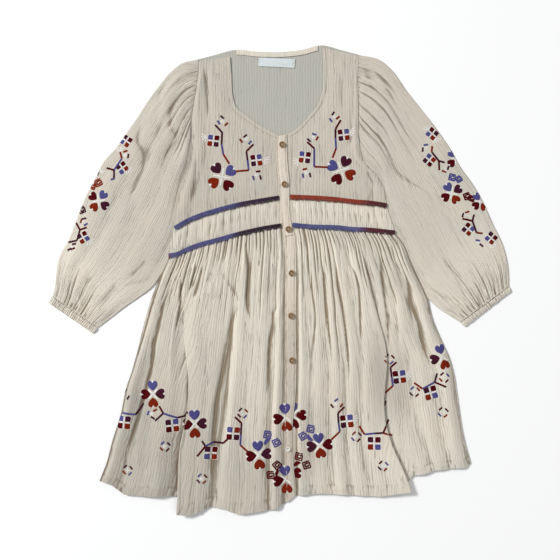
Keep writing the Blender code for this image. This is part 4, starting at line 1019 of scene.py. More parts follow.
skirt_left = skirt_cloth("front_skirt_left_cloth", moved(LOWER_LEFT, dy=-half_gap), HEM_LEFT, SIDE_LEFT,
                         opening_left, FOLDS_SKIRT_LEFT, CREASES_SKIRT_LEFT, LAP_LEFT, BEND_LEFT, TUCK_LEFT, 51)
skirt_right = skirt_cloth("front_skirt_right_cloth", moved(LOWER_RIGHT, dy=-half_gap), HEM_RIGHT, opening_right,
                          SIDE_RIGHT, FOLDS_SKIRT_RIGHT, CREASES_SKIRT_RIGHT, LAP_RIGHT, BEND_RIGHT,
                          TUCK_RIGHT, 52)
for skirt, node in ((skirt_left, "front_skirt_left"), (skirt_right, "front_skirt_right")):
    dress_piece(skirt, cotton, [node])

# BUTTON PLACKETS
# Straight strips of folded gauze down the front opening, one on the bodice that laps over the
# top of the other on the skirt, stitched along both long edges.

PlacketEdge = namedtuple("PlacketEdge", "left right left_y right_y")
PLACKET_BODICE = rows(
    PlacketEdge,
    (-5, 11, 243.5, 247), (-6, 12, 205, 205), (-2.7, 15.5, 168, 168), (-0.2, 15.7, 143, 143),
    (0.2, 16, 117, 117), (4, 19.4, 94, 94), (7.5, 24.5, 74, 77),
)
PLACKET_SKIRT = rows(
    PlacketEdge,
    (9, 26, 73.3, 76.3), (9.7, 27.5, -2, -2), (8.2, 26.5, -74, -74), (10, 27.5, -145, -145),
    (9.3, 26, -200, -200), (8.5, 21.6, -240, -240), (8.5, 20.9, -278, -278), (10, 22.6, -315, -315),
    (11.5, 26.5, -356, -350), (11.5, 26.5, -377, -364),
)
PLACKET_MID = 3.6
PLACKET_INSET = 2.2


def placket_cloth(name, edges, seed):
    """A level strip of folded cloth, pulled in along its stitching."""
    left_edge = np.array([(edge.left, edge.left_y) for edge in edges])
    right_edge = np.array([(edge.right, edge.right_y) for edge in edges])
    down = np.linspace(0, 1, 30 * len(edges))
    across = np.linspace(0, 1, 17)
    left, right = curve(left_edge, down), curve(right_edge, down)
    plan = ruled(left, right, across)
    from_edge = np.minimum(across, 1 - across) * widths_between(left, right)
    groove = np.exp(-((from_edge - PLACKET_INSET) / 0.9) ** 2)
    puckers = soft_noise(plan[..., 0] / 6, plan[..., 1] / 5.5, seed)
    # The strip is made darker towards its lower end
    wash = 1.02 - 0.2 * smoothstep(-10, 110, -plan[..., 1])
    high = PLACKET_MID + 0.25 * puckers * smoothstep(0, 2, from_edge) - 0.3 * groove
    high += 0.35 * smoothstep(2.5, 6, from_edge)
    return cloth_sheet(name, level(plan, high), plan, thickness=0.9, wash=wash)


strip_cotton = gauze("gauze_placket", (0.34, 0.282, 0.225), (0.58, 0.508, 0.43), (0.66, 0.588, 0.505))
placket_skirt = placket_cloth("placket_skirt_cloth", PLACKET_SKIRT, 61)
placket_bodice = placket_cloth("placket_bodice_cloth", PLACKET_BODICE, 62)
dress_piece(placket_skirt, strip_cotton, ["placket_skirt"])
dress_piece(placket_bodice, strip_cotton, ["placket_bodice"])

# TRIMS
# Four bands of fuzzy yarn that changes colour along its length, sewn over the waist seams, two on
# each half. Loose strands stand out along the lower edge.

STRIP_LOW = 3.0
STRANDS = 900
TRIM_WIDTH = 6.0
Trim = namedtuple("Trim", "node seam from_x to_x tuck slot dyes")
TRIMS = (
    Trim("trim_upper_left", UPPER_LEFT, -178.6, -1.5, TUCK_LEFT, "violet_yarn",
         ((0.0, "#4c4c76"), (0.55, "#474878"), (0.64, "#33203a"), (1.0, "#24101e"))),
    Trim("trim_lower_left", LOWER_LEFT, -188.6, 1.9, TUCK_LEFT, "violet_yarn",
         ((0.0, "#7a2c3c"), (0.03, "#50507c"), (0.54, "#4c4c7c"), (0.63, "#2c1628"), (1.0, "#1c0c16"))),
    Trim("trim_upper_right", UPPER_RIGHT, 17.2, 180.6, TUCK_RIGHT, "rust_yarn",
         ((0.0, "#8a3019"), (0.7, "#86301b"), (0.84, "#561a1e"), (1.0, "#3e1016"))),
    Trim("trim_lower_right", LOWER_RIGHT, 21.2, 194.6, TUCK_RIGHT, "violet_yarn",
         ((0.0, "#4e4e7a"), (0.62, "#50527e"), (0.75, "#561a2e"), (1.0, "#3a0c18"))),
)


def dyed(code):
    """Linear colour of a dye's hexadecimal code."""
    parts = [int(code[place:place + 2], 16) / 255 for place in (1, 3, 5)]
    return tuple(((part + 0.055) / 1.055) ** 2.4 for part in parts)


def yarn_group():
    """Twisted fuzzy strands, as a height and as a tone that varies from strand to strand."""
    group, given, made = new_group("yarn", [("Place", "Vector", None)], ["Height", "Tone"])
    hairs = noise(group, given["Place"], 900.0, 3.0)["Fac"]
    blotch = noise(group, given["Place"], 130.0)["Fac"]
    ply = bands(group, given["Place"], 260.0, 5.0, bands_direction="DIAGONAL")
    group.links.new(added_to(group, hairs, ply, 0.6), made["Height"])
    group.links.new(worked_out(group, "ADD", hairs, blotch), made["Tone"])
    return group


YARN = yarn_group()


def yarn_finish(name, from_x, to_x, dyes):
    """Matt fuzzy yarn whose dye changes from one end of the trim to the other."""
    made, tree = new_finish(name, Roughness=0.95, Specular_IOR_Level=0.15, Sheen_Weight=0.35)
    place = add_node(tree, "TexCoord").outputs["Object"]
    yarn = add_node(tree, "Group", {"Place": place}, node_tree=YARN).outputs
    apart = add_node(tree, "SeparateXYZ", {0: place}).outputs["X"]
    ends = {"Value": apart, "From Min": from_x * MM, "From Max": to_x * MM}
    share = add_node(tree, "MapRange", ends).outputs[0]
    late = worked_out(tree, "SUBTRACT", added_to(tree, share, yarn["Tone"], 0.10), 0.10)
    dye = colours(tree, late, *((position, dyed(code)) for position, code in dyes))
    grey = add_node(tree, "MapRange", {"Value": yarn["Tone"], "From Min": 0.6, "From Max": 1.4, "To Min": 0.6,
                                       "To Max": 1.5}).outputs[0]
    return surfaced(made, scaled(tree, dye, grey), yarn["Height"], 0.9, 0.0006)


def directions(line):
    """Unit directions along a line of plan points, and to the left of it."""
    tangent = np.gradient(line, axis=0)
    tangent /= np.linalg.norm(tangent, axis=-1, keepdims=True)
    return tangent, np.stack((-tangent[:, 1], tangent[:, 0]), axis=-1)


def loose_strands(name, roots, middles, tips, thickness, finish):
    """Short tapering strands of yarn, each with three sides and a bend."""
    turn = np.array([(math.cos(a), math.sin(a)) for a in (0.5, 2.6, 4.7)])
    along = tips - roots
    along /= np.linalg.norm(along, axis=1, keepdims=True)
    side = np.cross(along, (0, 0, 1.0))
    side /= np.linalg.norm(side, axis=1, keepdims=True)
    upward = np.cross(side, along)
    spokes = turn[None, :, :1] * side[:, None] + turn[None, :, 1:] * upward[:, None]
    points = np.concatenate((roots[:, None] + spokes * thickness, middles[:, None] + spokes * thickness * 0.7,
                             tips[:, None]), axis=1)
    faces = []
    for strand in range(len(roots)):
        first = strand * 7
        for here, there in ((0, 1), (1, 2), (2, 0)):
            faces.append((first + here, first + there, first + there + 3, first + here + 3))
            faces.append((first + here + 3, first + there + 3, first + 6))
        faces.append((first, first + 2, first + 1))
    piece = new_piece(name, points.reshape(-1, 3), faces)
    piece.data.shade_smooth()
    piece.data.materials.append(finish)
    return piece


for number, trim in enumerate(TRIMS):
    chance = np.random.default_rng(70 + number)
    dense = curve(trim.seam, np.linspace(0, 1, 400))
    ends = np.interp((trim.from_x, trim.to_x), dense[:, 0], np.linspace(0, 1, 400))
    line = curve(trim.seam, np.linspace(*ends, 240))
    tangent, normal = directions(line)
    across = np.linspace(1, -1, 13)
    ragged = soft_noise(line[:, 0] / 1.6, 0, number) + 0.9 * soft_noise(line[:, 0] / 6, 0, number + 9)
    half = TRIM_WIDTH / 2
    reach = half * across[:, None] * (1 - 0.06 * (across[:, None] > 0)) + ragged * (across[:, None] < -0.4)
    plan = line[None] + reach[..., None] * normal[None]
    lift = tuck_lift(plan, *trim.tuck)
    knobs = 0.3 * soft_noise(plan[..., 0] / 1.7, plan[..., 1] / 1.5, number)
    high = STRIP_LOW + 0.75 + 0.5 * np.sqrt(1 - across[:, None] ** 2 * 0.96) + knobs + lift
    braid = cloth_sheet(trim.node + "_braid", level(plan, high), plan, thickness=0.9)
    finish = yarn_finish(trim.node + "_yarn", trim.from_x, trim.to_x, trim.dyes)
    dress_piece(braid, finish, [trim.node])
    pick = chance.integers(2, 238, STRANDS)
    low_edge = chance.random(STRANDS) < 0.78
    place = np.where(low_edge, chance.uniform(-1.0, -0.45, STRANDS), chance.uniform(-0.4, 0.92, STRANDS))
    spot = line[pick] + (place * half)[:, None] * normal[pick]
    flow = -normal[pick] * chance.uniform(0.5, 1.0, (STRANDS, 1))
    flow += tangent[pick] * chance.uniform(-0.9, 0.9, (STRANDS, 1))
    length = np.where(low_edge, chance.uniform(2.4, 6.4, STRANDS), chance.uniform(1.0, 2.0, STRANDS))[:, None]
    base = STRIP_LOW + 1.35 + tuck_lift(spot[None], *trim.tuck)[0]
    roots = np.column_stack((spot, base))
    hang = chance.uniform(0, 0.6, STRANDS) - np.where(low_edge, 0.9, 0.0)
    tips = np.column_stack((spot + flow * length, base + hang))
    sway = np.column_stack((chance.normal(0, 0.25, (STRANDS, 2)), chance.uniform(0.1, 0.6, STRANDS)))
    middles = (roots + tips) / 2 + sway
    dress_piece(loose_strands(trim.node + "_fuzz", roots, middles, tips, 0.46, finish), finish, [])

# NECK TAPE AND LABEL
# A narrow tape of the same cotton sewn inside the back neck edge, and a bare white woven label
# stitched below it at both ends.

TAPE_WIDTH = 7.7
LABEL_CORNERS = ((-35.9, 377.6), (25.7, 374.8), (-37.2, 362.9), (24.3, 359.9))
BACK_TOP = 1.2

tape_x = np.linspace(-74, 64, 110)
dense = curve(NECK_BACK, np.linspace(0, 1, 400))
edge = np.interp(tape_x, dense[:, 0], dense[:, 1]) - 0.8
across = np.linspace(0, 1, 9)
plan = np.stack(np.broadcast_arrays(tape_x[None], edge[None] - TAPE_WIDTH * across[:, None]), axis=-1)
seam = np.exp(-((across[:, None] - 0.82) / 0.09) ** 2)
puckers = 0.18 * soft_noise(plan[..., 0] / 4.5, plan[..., 1] / 9, 81) - 0.25 * seam
height = BACK_TOP + LAYER_GAP + 0.6 + puckers
tape = cloth_sheet("back_neck_tape_cloth", level(plan, height), plan, thickness=THIN_GAUZE)
dress_piece(tape, gauze("gauze_tape", (0.36, 0.33, 0.27), (0.58, 0.535, 0.45), (0.68, 0.62, 0.53), 0.5, 0.0006),
            ["back_neck_tape"])


def label_finish():
    """White satin-woven label: fine ribs across it, and a faint tone between its threads."""
    made, tree = new_finish("woven_label", Roughness=0.6)
    grain = map_of(tree, "grain")
    ribs = bands(tree, grain, 620.0, 0.4, bands_direction="Y")
    woven = worked_out(tree, "ADD", ribs, noise(tree, grain, 260.0)["Fac"])
    white = colours(tree, woven, (0, (0.54, 0.60, 0.63)), (1, (0.70, 0.75, 0.77)))
    return surfaced(made, white, woven, 0.5, 0.0003)


corners = np.array(LABEL_CORNERS, float).reshape(2, 2, 2)
across, down = np.linspace(0, 1, 50), np.linspace(0, 1, 16)
top_edge, low_edge = straight(*corners[0], across), straight(*corners[1], across)
plan = top_edge[None] * (1 - down[:, None, None]) + low_edge[None] * down[:, None, None]
bow = 0.5 * np.sin(math.pi * across)[None] * np.sin(math.pi * down)[:, None]
ends = 0.25 * np.exp(-((np.minimum(across, 1 - across) - 0.04) / 0.012) ** 2)[None]
label = cloth_sheet("neck_label_woven", level(plan, BACK_TOP + LAYER_GAP + 0.55 + bow - ends),
                    plan - plan[0, 0], thickness=0.45)
dress_piece(label, label_finish(), ["neck_label"])

# BUTTONS
# Six brown coconut-shell buttons with four holes and a small pale one low on the skirt, each
# turned with a raised rim and a dished face, and sewn on with light thread.

BUTTONS = ((3.7, 229.3), (7.6, 162.2), (14.4, 86), (19.7, 11.6), (18.9, -60.7), (20.4, -136.3))
WHITE_BUTTON = (13.5, -286.1)
BUTTON_WIDTH = 10.4
WHITE_BUTTON_WIDTH = 8.0
BUTTON_LOW = STRIP_LOW + CLOTH + LAYER_GAP
BUTTON_THICK = 2.4
HOLE_OFF = 1.45
HOLE_RADIUS = 0.62


def turned_button():
    """One coconut button at the origin: rim, dished face and four drilled holes."""
    bpy.ops.object.select_all(action="DESELECT")
    radius, thick = BUTTON_WIDTH / 2 * MM, BUTTON_THICK * MM
    bpy.ops.mesh.primitive_cylinder_add(vertices=40, radius=radius, depth=thick, location=(0, 0, thick / 2))
    body = bpy.context.object
    bpy.ops.object.transform_apply(location=True, rotation=True, scale=True)
    bpy.ops.object.mode_set(mode="EDIT")
    bpy.ops.mesh.select_all(action="DESELECT")
    bpy.ops.object.mode_set(mode="OBJECT")
    for face in body.data.polygons:
        face.select = face.normal.z > 0.9
    bpy.ops.object.mode_set(mode="EDIT")
    bpy.ops.mesh.inset(thickness=radius * 0.26, depth=0)
    bpy.ops.mesh.inset(thickness=radius * 0.10, depth=-thick * 0.34)
    bpy.ops.mesh.inset(thickness=radius * 0.30, depth=-thick * 0.04)
    bpy.ops.object.mode_set(mode="OBJECT")
    bpy.ops.object.modifier_add(type="BEVEL")
    soft = body.modifiers[-1]
    soft.width, soft.segments, soft.limit_method, soft.angle_limit = 0.0004, 3, "ANGLE", math.radians(40)
    bpy.ops.object.modifier_apply(modifier=soft.name)
    for corner in range(4):
        angle = math.pi / 4 + corner * math.pi / 2
        place = (HOLE_OFF * MM * math.cos(angle), HOLE_OFF * MM * math.sin(angle), thick / 2)
        bpy.ops.mesh.primitive_cylinder_add(vertices=16, radius=HOLE_RADIUS * MM, depth=thick * 2,
                                            location=place)
        drill = bpy.context.object
        bpy.ops.object.select_all(action="DESELECT")
        body.select_set(True)
        bpy.context.view_layer.objects.active = body
        bpy.ops.object.modifier_add(type="BOOLEAN")
        hole = body.modifiers[-1]
        hole.operation, hole.object, hole.solver = "DIFFERENCE", drill, "EXACT"
        bpy.ops.object.modifier_apply(modifier=hole.name)
        bpy.data.objects.remove(drill)
    bpy.ops.object.shade_smooth_by_angle(angle=math.radians(35))
    return body


def button_threads():
    """Two crossed pairs of stitches between the four holes, at the origin."""
    bpy.ops.object.select_all(action="DESELECT")
    rods = []
    for turn in (0.25, 0.75):
        for shift in (-0.16, 0.16):
            angle = turn * math.pi
            place = (-shift * MM * math.sin(angle), shift * MM * math.cos(angle),
                     BUTTON_THICK * MM * (0.63 + 0.12 * turn))
            bpy.ops.mesh.primitive_cylinder_add(vertices=8, radius=0.17 * MM, depth=3.0 * MM, location=place,
                                                rotation=(0, math.pi / 2, angle))
            rods.append(bpy.context.object)
    for rod in rods:
        rod.select_set(True)
    bpy.ops.object.join()
    bpy.ops.object.transform_apply(location=True, rotation=True, scale=True)
    bpy.ops.object.shade_smooth_by_angle(angle=math.radians(50))
    return bpy.context.object


def shell_finish(name, dark, mid, light, roughness, scale):
    """Turned shell or coconut: fine rings and flecks, polished, darker towards the middle."""
    made, tree = new_finish(name, Roughness=roughness, Coat_Weight=0.15)
    place = map_of(tree, "turned")
    rings = bands(tree, place, 95.0, 4.0, 3.0, wave_type="RINGS", rings_direction="Z")
    flecks = noise(tree, place, scale, 4.0, 0.7)["Fac"]
    tone = colours(tree, added_to(tree, flecks, rings, 0.4), (0.35, dark), (0.65, mid), (0.95, light))
    return surfaced(made, tone, flecks, 0.3, 0.0002)


def thread_finish(name, code):
    """Satin-stitched embroidery thread: fine parallel strands with a soft sheen."""
    made, tree = new_finish(name, Roughness=0.75, Specular_IOR_Level=0.03)
    stitch = map_of(tree, "stitch")
    strands = bands(tree, stitch, 700.0, 1.2, 1.0, bands_direction="X")
    worn = added_to(tree, noise(tree, stitch, 240.0, 3.0)["Fac"], strands, 0.5)
    dye = dyed(code)
    tone = colours(tree, worn, (0.3, [0.6 * part for part in dye]),
                   (1.0, [min(1.0, 1.1 * part + 0.002) for part in dye]))
    return surfaced(made, tone, strands, 0.7, 0.00025)


def points_of(mesh):
    """The points of a mesh, in metres."""
    points = np.empty(len(mesh.vertices) * 3)
    mesh.vertices.foreach_get("co", points)
    return points.reshape(-1, 3)


def lay_map(mesh, name, spots):
    """Give a mesh one UV map, with a spot for each of its points."""
    corner = np.empty(len(mesh.loops), int)
    mesh.loops.foreach_get("vertex_index", corner)
    for old in list(mesh.uv_layers):
        mesh.uv_layers.remove(old)
    mesh.uv_layers.new(name=name).data.foreach_set("uv", spots[corner].ravel())


def rotated(points, angle):
    """Plan points turned anticlockwise about the origin, by an angle in radians."""
    return points @ np.array(((math.cos(angle), math.sin(angle)), (-math.sin(angle), math.cos(angle))))


coconut = shell_finish("coconut_shell", (0.07, 0.035, 0.015), (0.20, 0.115, 0.05), (0.34, 0.22, 0.11),
                       0.42, 620.0)
pale_shell = shell_finish("pale_shell", (0.55, 0.53, 0.48), (0.72, 0.70, 0.65), (0.84, 0.82, 0.78), 0.35, 300.0)
light_thread = thread_finish("light_thread", "#cdbfa6")
model = turned_button()
threads = button_threads()
for piece, name in ((model, "turned"), (threads, "stitch")):
    lay_map(piece.data, name, points_of(piece.data)[:, :2])
spots = [(centre, BUTTON_WIDTH) for centre in BUTTONS] + [(WHITE_BUTTON, WHITE_BUTTON_WIDTH)]
for number, (centre, width) in enumerate(spots, start=1):
    for source, part in ((model, "shell"), (threads, "thread")):
        copy = source.copy()
        copy.data = source.data.copy()
        copy.name = f"button_{number}_{part}"
        bpy.context.scene.collection.objects.link(copy)
        points = points_of(copy.data) * (width / BUTTON_WIDTH, width / BUTTON_WIDTH, 1)
        spun = rotated(points[:, :2], 0.7 * number)
        placed = np.column_stack((spun + np.array(centre) * MM, points[:, 2] + BUTTON_LOW * MM))
        copy.data.vertices.foreach_set("co", placed.ravel())
        brown = number < 7
        if part == "shell":
            dress_piece(copy, coconut if brown else pale_shell, [f"button_{number}"])
        else:
            dress_piece(copy, light_thread, [])
bpy.data.objects.remove(model)
bpy.data.objects.remove(threads)

# EMBROIDERY
# Flowers of four satin-stitched hearts, small four-petalled blossoms, angular stems, dashes,
# sprigs and meander squares in violet, plum, dark red, rust and white thread, after a common
# folk pattern. Each motif is stitched over the folds that it lies on.

THREADS = {"v": "#55528c", "p": "#44192c", "d": "#52070d", "r": "#82260f", "w": "#f4f2ec"}
Flower = namedtuple("Flower", "x y turn size wide high threads ground")
Blossom = namedtuple("Blossom", "x y turn size threads")
Stem = namedtuple("Stem", "threads points")
Dash = namedtuple("Dash", "thread x y angle")
Sprig = namedtuple("Sprig", "x y angle")
Sparkle = namedtuple("Sparkle", "x y threads")
Square = namedtuple("Square", "x y turn size thread")
Tuft = namedtuple("Tuft", "x y turn")
STITCH_WIDE = 3.4
RAY_WIDE = 1.7

# Threads of the hearts run anticlockwise from the turn, with - for one that isn't there
FLOWERS = rows(
    Flower,
    (-98, 175, 34, 1, 16.6, 16.6, "vprd", "all"), (104, 186, 64, 1, 16, 16, "pvdr", "all"),
    (-307, 134, 53, 0.8, 12.2, 12.2, "vdrp", "all"), (298.5, 206, 132, 0.72, 10, 11, "vdr-", "all"),
    (291, 147, 32, 0.8, 11.8, 11.8, "pvdr", "all"), (340, 133, 128, 0.72, 9.5, 10.5, "vdr-", "all"),
    (-215, -193, 3, 0.9, 12.6, 14.4, "pvdr", "all"), (-144, -243, 2, 0.94, 12, 15.4, "pvdr", "all"),
    (-36, -296, 6, 0.96, 13, 15.6, "pvdr", "all"), (10, -233, 97, 0.96, 13, 15, "vdr-", "all"),
    (22, -230, 5, 0.95, 14.2, 14, "dv-d", "right"), (10, -338, 97, 0.96, 13, 15, "vdr-", "all"),
    (14, -327, 0, 0.92, 14, 14, "d---", "right"), (67, -280, 8, 0.95, 13.6, 12.8, "dvpr", "right"),
    (275, -130, 17, 0.88, 13.4, 13.4, "dvpr", "all"),
)
STEMS = rows(
    Stem,
    ("rvpp", ((-86, 197), (-96, 213), (-99, 230), (-98, 250), (-110, 263))),
    ("rvpd", ((-75, 184), (-53, 186), (-55, 203), (-57, 218), (-45, 230))),
    ("rvd", ((81, 191), (58, 192), (58, 223), (46, 234))),
    ("rvpd", ((89, 207), (95, 223), (94, 241), (94, 256), (103, 271))),
    ("rvd", ((-271, 217), (-268, 206), (-281, 186), (-294, 190))),
    ("p", ((-281, 186), (-281, 173))),
    ("d", ((-346, 97), (-339, 85))),
    ("d", ((-339, 85), (-327, 89))),
    ("p", ((-339, 85), (-344, 67))),
    ("p", ((-344, 67), (-359, 64))),
    ("rp", ((258, 227), (257, 217), (269, 202))),
    ("p", ((269, 202), (279, 199))),
    ("d", ((269, 202), (270, 186))),
    ("pd", ((329, 111), (326, 100), (309, 104))),
    ("pr", ((326, 100), (333, 80), (343, 79))),
    ("p", ((-231, -209), (-238, -219))),
    ("pv", ((-238, -219), (-245, -228), (-267, -225))),
    ("dp", ((-204, -213), (-197, -225), (-211, -238))),
    ("vpp", ((-197, -225), (-174, -233), (-161, -230), (-156, -222))),
    ("pd", ((-132, -272), (-126, -281), (-140, -298))),
    ("vpd", ((-126, -281), (-113, -275), (-96, -276), (-87, -267))),
    ("dpvr", ((-76, -231), (-65, -242), (-66, -261), (-67, -279), (-55, -290))),
    ("rvpd", ((87, -270), (101, -256), (99, -241), (98, -225), (109, -215))),
    ("rvpd", ((134, -247), (143, -261), (160, -259), (174, -258), (184, -236))),
    ("r", ((174, -258), (190, -263))),
    ("dpvr", ((197, -139), (187, -148), (189, -164), (191, -179), (178, -191))),
    ("rvp", ((227, -174), (241, -184), (262, -173), (266, -158))),
    ("d", ((262, -173), (281, -181))),
)
DASHES = rows(
    Dash,
    ("p", -98, 276, -40), ("v", -104, 267, -55), ("r", -91, 264, 45), ("p", -59, 244, 40),
    ("r", -66, 236, -50), ("v", -51, 233, 50), ("d", -37, 184, 5), ("v", -45, 173, -75),
    ("p", -33, 174, -75), ("p", 90, 282, 60), ("v", 86, 271, -55), ("r", 98, 275, 40), ("p", 49, 237, -45),
    ("r", 63, 240, 60), ("v", 58, 247, -20), ("r", 42, 188, 10), ("v", 39, 177, -80), ("p", 51, 178, -80),
    ("r", -262, 218, 20), ("p", -257, 210, 80), ("d", -306, 189, 60), ("p", -309, 181, 70),
    ("v", -283, 171, 20), ("p", -332, 104, 15), ("r", -337, 100, 70), ("v", -329, 94, 30),
    ("p", -349, 61, 10), ("d", -351, 53, 20), ("p", -357, 52, 30), ("v", 247, 229, 10), ("p", 242, 221, 80),
    ("r", 278, 184, -20), ("p", 285, 190, 70), ("r", 317, 115, 20), ("p", 310, 110, 70), ("v", 335, 67, -10),
    ("p", 341, 59, -40), ("r", -211, -220, 30), ("v", -223, -225, 70), ("p", -215, -233, -30),
    ("v", 95, -203, 40), ("p", 88, -213, -50), ("r", 104, -212, 55), ("p", -262, -188, 70),
    ("p", -257, -199, 60), ("p", 178, -208, 80),
)
SPRIGS = rows(
    Sprig,
    (-130, 241, 20), (-21, 202, 160), (125, 251, 160), (26, 200, 20), (249, 259, -60), (267, 235, 120),
    (363, 58, 140), (-272, 224, -90), (-254, 184, 130), (129, -236, 170), (220, -161, 170), (-320, 62, 140),
)
TUFTS = rows(
    Tuft,
    (-97, 269, 10), (-58, 239, 40), (92, 277, 0), (56, 242, 25), (-40, 178, 60), (45, 182, 15),
    (-262, 211, 30), (-302, 184, 0), (-334, 99, 50), (-353, 56, 20), (246, 223, 0), (281, 186, 35),
    (314, 112, 10), (336, 63, 45), (-217, -226, 20), (95, -209, 0), (-194, -281, 0), (-132, -336, 0),
    (129, -265, 0), (174, -314, 0),
)
SPARKLES = rows(
    Sparkle,
    (-194, -281, "pvrd"), (-132, -336, "dvpr"), (-63, -225, "rpdv"), (129, -265, "prvd"),
    (174, -314, "vdpr"), (185, -134, "dprv"), (228, -189, "rvpd"), (276, -224, "pdvr"), (278, -165, "vprd"),
    (-258, -322, "dprv"),
)
BLOSSOMS = rows(
    Blossom,
    (-113, 236, 128, 1.08, "vrpd"), (-40, 203, 52, 1.08, "vdpr"), (108, 246, 52, 1.08, "vdpr"),
    (42, 208, 128, 1.08, "vrpd"), (-261, 236, 100, 0.98, "pvrd"), (-267, 190, 80, 0.98, "dpvr"),
    (-333, 72, 75, 0.98, "dprv"), (258, 248, 95, 0.98, "dvrp"), (253, 203, 95, 0.98, "vpdr"),
    (319, 86, 95, 0.98, "dprv"), (358, 71, 95, 0.98, "pvrd"), (-264, -241, 130, 1.22, "vdrp"),
    (-182, -246, 140, 1.22, "pdrv"), (-117, -293, 130, 1.22, "pvrd"), (-79, -259, 130, 1.22, "vdpr"),
    (113, -239, 52, 1.22, "vdpr"), (159, -276, 135, 1.22, "prvd"), (202, -164, 52, 1.22, "vdpr"),
    (255, -191, 60, 1.22, "dprv"),
)
SQUARES = rows(
    Square,
    (-308, 165, 25, 0.95, "r"), (-318, 159, -20, 0.8, "r"), (-336, 119, 20, 0.9, "p"),
    (292, 174, -15, 0.9, "v"), (303, 171, 30, 0.8, "v"), (317, 142, 20, 0.9, "d"),
    (325, 138, -20, 0.75, "d"), (-21, -262, -10, 1, "v"), (-6, -275, 25, 1, "v"), (52, -252, -12, 1, "v"),
    (39, -264, 28, 1, "v"), (-5, -313, 40, 1, "d"), (-16, -330, 5, 1, "d"), (32, -299, -10, 1, "d"),
    (45, -313, 15, 1, "d"),
)
HALF_MOONS = rows(
    Square,
    (-21, -275, 45, 1, "v"), (52, -266, 130, 1, "v"), (-3, -327, 70, 0.9, "d"), (30, -313, 30, 1, "d"),
)


def ground_of(pieces):
    """A tree of all the faces of some pieces, to lay stitches on."""
    points, faces = [], []
    for piece in pieces:
        mesh = piece.data
        mesh.calc_loop_triangles()
        corner = np.empty(len(mesh.loop_triangles) * 3, int)
        mesh.loop_triangles.foreach_get("vertices", corner)
        faces += (corner.reshape(-1, 3) + len(points)).tolist()
        points += (points_of(mesh) / MM).tolist()
    return BVHTree.FromPolygons(points, faces)


GROUNDS = {
    "all": ground_of([skirt_left, skirt_right, placket_skirt, placket_bodice, bodice_left, bodice_right,
                      waistband_left, waistband_right, sleeve_left, sleeve_right]),
    "right": ground_of([skirt_right]),
}
stitched = {thread: ([], [], []) for thread in THREADS}


def cloth_height(ground, x, y):
    """Height of the cloth under a point, or nothing past its edge."""
    hit = GROUNDS[ground].ray_cast(Vector((x, y, 40)), Vector((0, 0, -1)))[0]
    return None if hit is None else hit.z


def on_cloth(points, middle, ground):
    """Plan points with the cloth's height, drawn in towards the middle where they miss the cloth."""
    placed = []
    for x, y in points:
        for pull in np.linspace(0, 1, 21):
            px, py = x + (middle[0] - x) * pull, y + (middle[1] - y) * pull
            high = cloth_height(ground, px, py)
            if high is not None:
                placed.append((px, py, high))
                break
    return np.array(placed) if len(placed) == len(points) else None


def satin_patch(outline, thread, grain_turn, ground="all", rise=0.5):
    """A raised closed pad of satin stitches inside an outline."""
    outline = np.asarray(outline, float)
    middle = outline.mean(axis=0)
    rings = [middle + (outline - middle) * share for share in (1.0, 0.93, 0.6, 0.3)]
    flat = np.concatenate(rings + [middle[None]])
    placed = on_cloth(flat, middle, ground)
    if placed is None:
        return
    count = len(outline)
    lifts = np.repeat((0.10, rise * 0.75, rise * 0.95, rise), count).tolist() + [rise]
    top = placed + np.column_stack((np.zeros((len(flat), 2)), lifts))
    under = placed[:count] - (0, 0, 0.3)
    hub = placed[-1:] - (0, 0, 0.3)
    points, faces, spread = stitched[thread]
    first = len(points)
    points.extend(np.concatenate((top, under, hub)).tolist())
    spun = rotated(np.concatenate((flat, outline, middle[None])) - middle, -math.radians(grain_turn))
    spread.extend((spun * MM).tolist())
    low, core = 4 * count + 1, 5 * count + 1

    def face(*places):
        faces.append([first + place for place in places])

    for here in range(count):
        there = (here + 1) % count
        for ring in range(3):
            a, b = ring * count, (ring + 1) * count
            face(a + here, a + there, b + there, b + here)
        face(3 * count + here, 3 * count + there, 4 * count)
        face(low + there, low + here, core)
        face(low + here, low + there, there, here)


